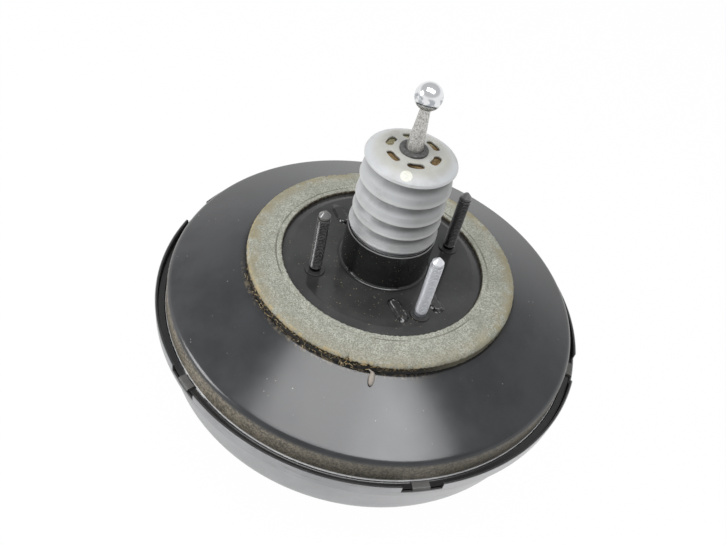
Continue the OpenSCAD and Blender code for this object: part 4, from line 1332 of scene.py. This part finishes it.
inner_ball = arc(0, 1, INNER_BALL, -math.pi / 2, math.radians(50.2), 20) + [0.001, 0]
shank_line = [(3.2, 16), (SHANK_R, 19), (SHANK_R, 45.9), (COLLAR_R, 45.9), (COLLAR_R, 48),
              (SHANK_R, 48), (SHANK_R, 74.5), (5.2, 76), (5.2, 88.3)]
taper = refined(np.array([(5.15, 89.0), (2.9, 114.6)]), 3.0)
outer_ball = arc(0, BALL_Z, BALL_R, math.radians(-68.5), math.pi / 2, 48)
rod_profile = np.vstack([inner_ball, shank_line, taper, outer_ball])
rod_profile[:, 0] = np.maximum(rod_profile[:, 0], 0.01)
rod_grid = turned_grid(rod_profile, full_turn(96))
rod = solid_from("pedal_rod_piece", rod_grid, rod_finish, wrap_rows=False)
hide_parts("input_rod")
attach(rod, "pedal_rod")

# %% [markdown]
# ## Parts inside and below
# The parts that the photo hides keep the model's own shapes, which are good enough for
# a cut or a look from below, and get their own finishes: bare steel, brass, rubber,
# plastic and filter foam.

# %% Finishes of the other parts
def plain_finish(name, a, b, roughness, size=0.006, lift=0.00005):
    material, tree, shader = new_finish(name, Roughness=roughness)
    n = noise(tree, size, 4, 0.6)
    tree.links.new(mixed(tree, between(tree, n, 0.35, 0.7), a, b), shader.inputs["Base Color"])
    bumpy(tree, shader, noise(tree, size / 6, 3, seed=4.0), lift, 0.5)
    return material


bare_steel = metal_finish("bare_steel", (0.45, 0.45, 0.44), (0.2, 0.19, 0.17), 0.35)
spring_steel = metal_finish("spring_steel", (0.09, 0.09, 0.095), (0.16, 0.14, 0.12), 0.35)
brass = metal_finish("brass", (0.62, 0.43, 0.16), (0.3, 0.21, 0.09), 0.28)
black_rubber = plain_finish("black_rubber", (0.018, 0.018, 0.018), (0.04, 0.038, 0.035), 0.6)
grey_plastic = plain_finish("grey_plastic", (0.045, 0.045, 0.047), (0.09, 0.088, 0.082), 0.42)
light_plastic = plain_finish("light_plastic", (0.62, 0.6, 0.52), (0.45, 0.42, 0.34), 0.42)
filter_foam = plain_finish("filter_foam", (0.3, 0.22, 0.11), (0.42, 0.33, 0.18), 0.95, 0.0015, 0.0006)
FINISHES = {
    bare_steel: ("rear_brace", "front_brace", "diaphragm_plate", "stop_key", "output_rod", "spring_retainer"),
    zinc: ("cylinder_stud_1", "cylinder_stud_2"),
    brass: ("plunger",),
    spring_steel: ("rod_spring", "poppet_spring"),
    light_plastic: ("guide_bush", "valve_body"),
    black_rubber: ("neck_seal", "front_seal", "valve_grommet", "reaction_disc", "poppet_valve"),
    grey_plastic: ("check_valve",),
    filter_foam: ("air_filter",),
}
for finish, names in FINISHES.items():
    for name in names:
        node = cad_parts[name]
        node.data.materials.clear()
        node.data.materials.append(finish)
print("parts with a finish:", sum(len(names) for names in FINISHES.values()))

# %% [markdown]
# The return spring stands between the front shell and the power piston and pushes the
# piston back. A Curve with a bevel could be its wire. Here a ring is carried along a
# helix whose first and last turns lie flat.

# %% Return spring
SPRING_R, WIRE_R, SPRING_LOW, SPRING_HIGH = 28, 2.2, -102.6, -30.1


def coil(name, material, radius, wire, low, high, turns, sides=12, per_turn=48):
    """A wire along a helix.

    With c the share of the climb, 0 to 1, the wire's centre is at height z0 + (z1 - z0) c,
    and its ring stands in the plane of the axis.
    """
    u = np.linspace(0, 1, int(turns * per_turn) + 1)[:, None]
    climb = np.clip((u * turns - 0.9) / (turns - 1.8), 0, 1)
    z = low + wire + (high - low - 2 * wire) * climb
    a = 2 * math.pi * turns * u
    b = np.radians(full_turn(sides))[None, :]
    reach = radius + wire * np.cos(b)
    grid = np.stack([reach * np.cos(a), reach * np.sin(a), z + wire * np.sin(b)], 2)
    return solid_from(name, grid, material, wrap_rows=False, caps=True)


spring = coil("return_coil", spring_steel, SPRING_R, WIRE_R, SPRING_LOW, SPRING_HIGH, 6)
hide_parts("return_spring")
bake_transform(spring)

# %% [markdown]
# The diaphragm is a rubber skin that parts the two chambers. Its bead is clamped between
# the shells, its middle lies on the piston's plate, and a fold between them rolls. It
# is turned like the shells.

# %% Rolling diaphragm
SKIN_LIFT, SKIN_WALL = 0.1, 2.0

skin_line = rounded([
    (24.1, -10.78, 0), (58, -10.78, 3), (64, -12.98, 3), (90.5, -12.98, 4), (124.5, -29.1, 4),
    (124.5, -57.5, 4.6), (135, -57.5, 4.6), (135, -45.2, 1.2), (140.5, -45.2, 0)], 6)
skin_sides = [beside(skin_line, -SKIN_LIFT), beside(skin_line, -SKIN_LIFT - SKIN_WALL)[::-1]]
skin = turned("rolling_diaphragm", refined(np.vstack(skin_sides), 3.0), black_rubber, 160)
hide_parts("diaphragm")
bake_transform(skin)

# %% [markdown]
# ## Floor and sky
# The photo's background is plain white, almost without a shadow. A white floor lit by
# lamps alone would come out grey and uneven. So rays that go straight to the camera,
# or by way of a mirror or a clear thing, see floor and low sky as glowing white, while
# the rays that light the booster meet a matt floor and a dim sky. The booster keeps
# its dark sides that way.

# %% Floor
def seen_directly(tree, path):
    """1 for camera, glossy and transmission rays, 0 for the rays that light the object."""
    some = math_node(tree, "MAXIMUM", path.outputs["Is Camera Ray"], path.outputs["Is Glossy Ray"])
    return math_node(tree, "MAXIMUM", some, path.outputs["Is Transmission Ray"])


floor_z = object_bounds()[0][2] - 0.0005
bpy.ops.mesh.primitive_plane_add(size=8, location=(0, 0, floor_z))
floor = bpy.context.object
floor.name = "floor"
floor_finish, tree, shader = new_finish("floor", Roughness=0.9, Specular_IOR_Level=0.1)
shader.inputs["Base Color"].default_value = (0.9, 0.9, 0.9, 1)
glow = tree.nodes.new("ShaderNodeEmission")
glow.inputs["Strength"].default_value = 1.0
either = tree.nodes.new("ShaderNodeMixShader")
direct = seen_directly(tree, tree.nodes.new("ShaderNodeLightPath"))
tree.links.new(times(tree, direct, 0.985), either.inputs["Fac"])
tree.links.new(shader.outputs[0], either.inputs[1])
tree.links.new(glow.outputs[0], either.inputs[2])
tree.links.new(either.outputs[0], tree.nodes["Material Output"].inputs["Surface"])
floor.data.materials.append(floor_finish)
print("floor at", round(1000 * floor_z, 1), "mm")

# %% [markdown]
# The sky is white for the camera. Mirrors see it a little darker high up, as the
# ceiling of a room is, and that gives the ball its grey top.

# %% Sky
world = bpy.data.worlds.new("sky")
bpy.context.scene.world = world
world.use_nodes = True
tree = world.node_tree
tree.nodes.clear()
path = tree.nodes.new("ShaderNodeLightPath")
up = tree.nodes.new("ShaderNodeSeparateXYZ")
tree.links.new(tree.nodes.new("ShaderNodeTexCoord").outputs["Generated"], up.inputs[0])
high = between(tree, up.outputs[2], 0.22, 0.5)
ceiling = times(tree, high, path.outputs["Is Glossy Ray"])
white = tree.nodes.new("ShaderNodeBackground")
tree.links.new(mixed(tree, ceiling, (1, 1, 1), (0.6, 0.605, 0.615)), white.inputs["Color"])
dim = tree.nodes.new("ShaderNodeBackground")
dim.inputs["Color"].default_value = (0.95, 0.97, 1, 1)
dim.inputs["Strength"].default_value = 0.3
choose = tree.nodes.new("ShaderNodeMixShader")
out = tree.nodes.new("ShaderNodeOutputWorld")
tree.links.new(seen_directly(tree, path), choose.inputs["Fac"])
tree.links.new(dim.outputs[0], choose.inputs[1])
tree.links.new(white.outputs[0], choose.inputs[2])
tree.links.new(choose.outputs[0], out.inputs["Surface"])
print("sky:", len(tree.nodes), "nodes")

# %% [markdown]
# ## Lamps
# Soft boxes light such a photo, because small lamps make hard shadows and black paint
# shows every lamp as a mirror would. The widest box hangs above the right side and
# makes the broad light on the front of the cone. A small one sharpens it, and one at
# the left lifts the dark side.

# %% Lamps
def lamp(name, at, aim, size, power, colour=(1, 1, 1)):
    """A rectangular area lamp at one point, turned to face another."""
    data = bpy.data.lights.new(name, "AREA")
    data.shape = "RECTANGLE"
    data.size, data.size_y = size
    data.energy = power
    data.color = colour
    obj = bpy.data.objects.new(name, data)
    bpy.context.collection.objects.link(obj)
    obj.location = at
    away = np.array(at, float) - np.array(aim, float)
    away /= np.linalg.norm(away)
    side = np.cross((0, 1, 0), away)
    side = side / np.linalg.norm(side)
    over = np.cross(away, side)
    obj.rotation_euler = Matrix(np.column_stack([side, over, away]).tolist()).to_euler()
    print(name + ":", power, "W")


lamp("top_box", (0.17, -0.25, 1.3), (0.17, -0.25, 0), (1.35, 0.55), 15.5)
lamp("front_box", (0.45, -0.27, 1.28), (0.45, -0.27, 0), (0.42, 0.4), 1.5, (0.9, 0.95, 1))
lamp("left_box", (-0.9, -0.55, 0.5), (0, 0, 0.03), (0.45, 0.45), 6)
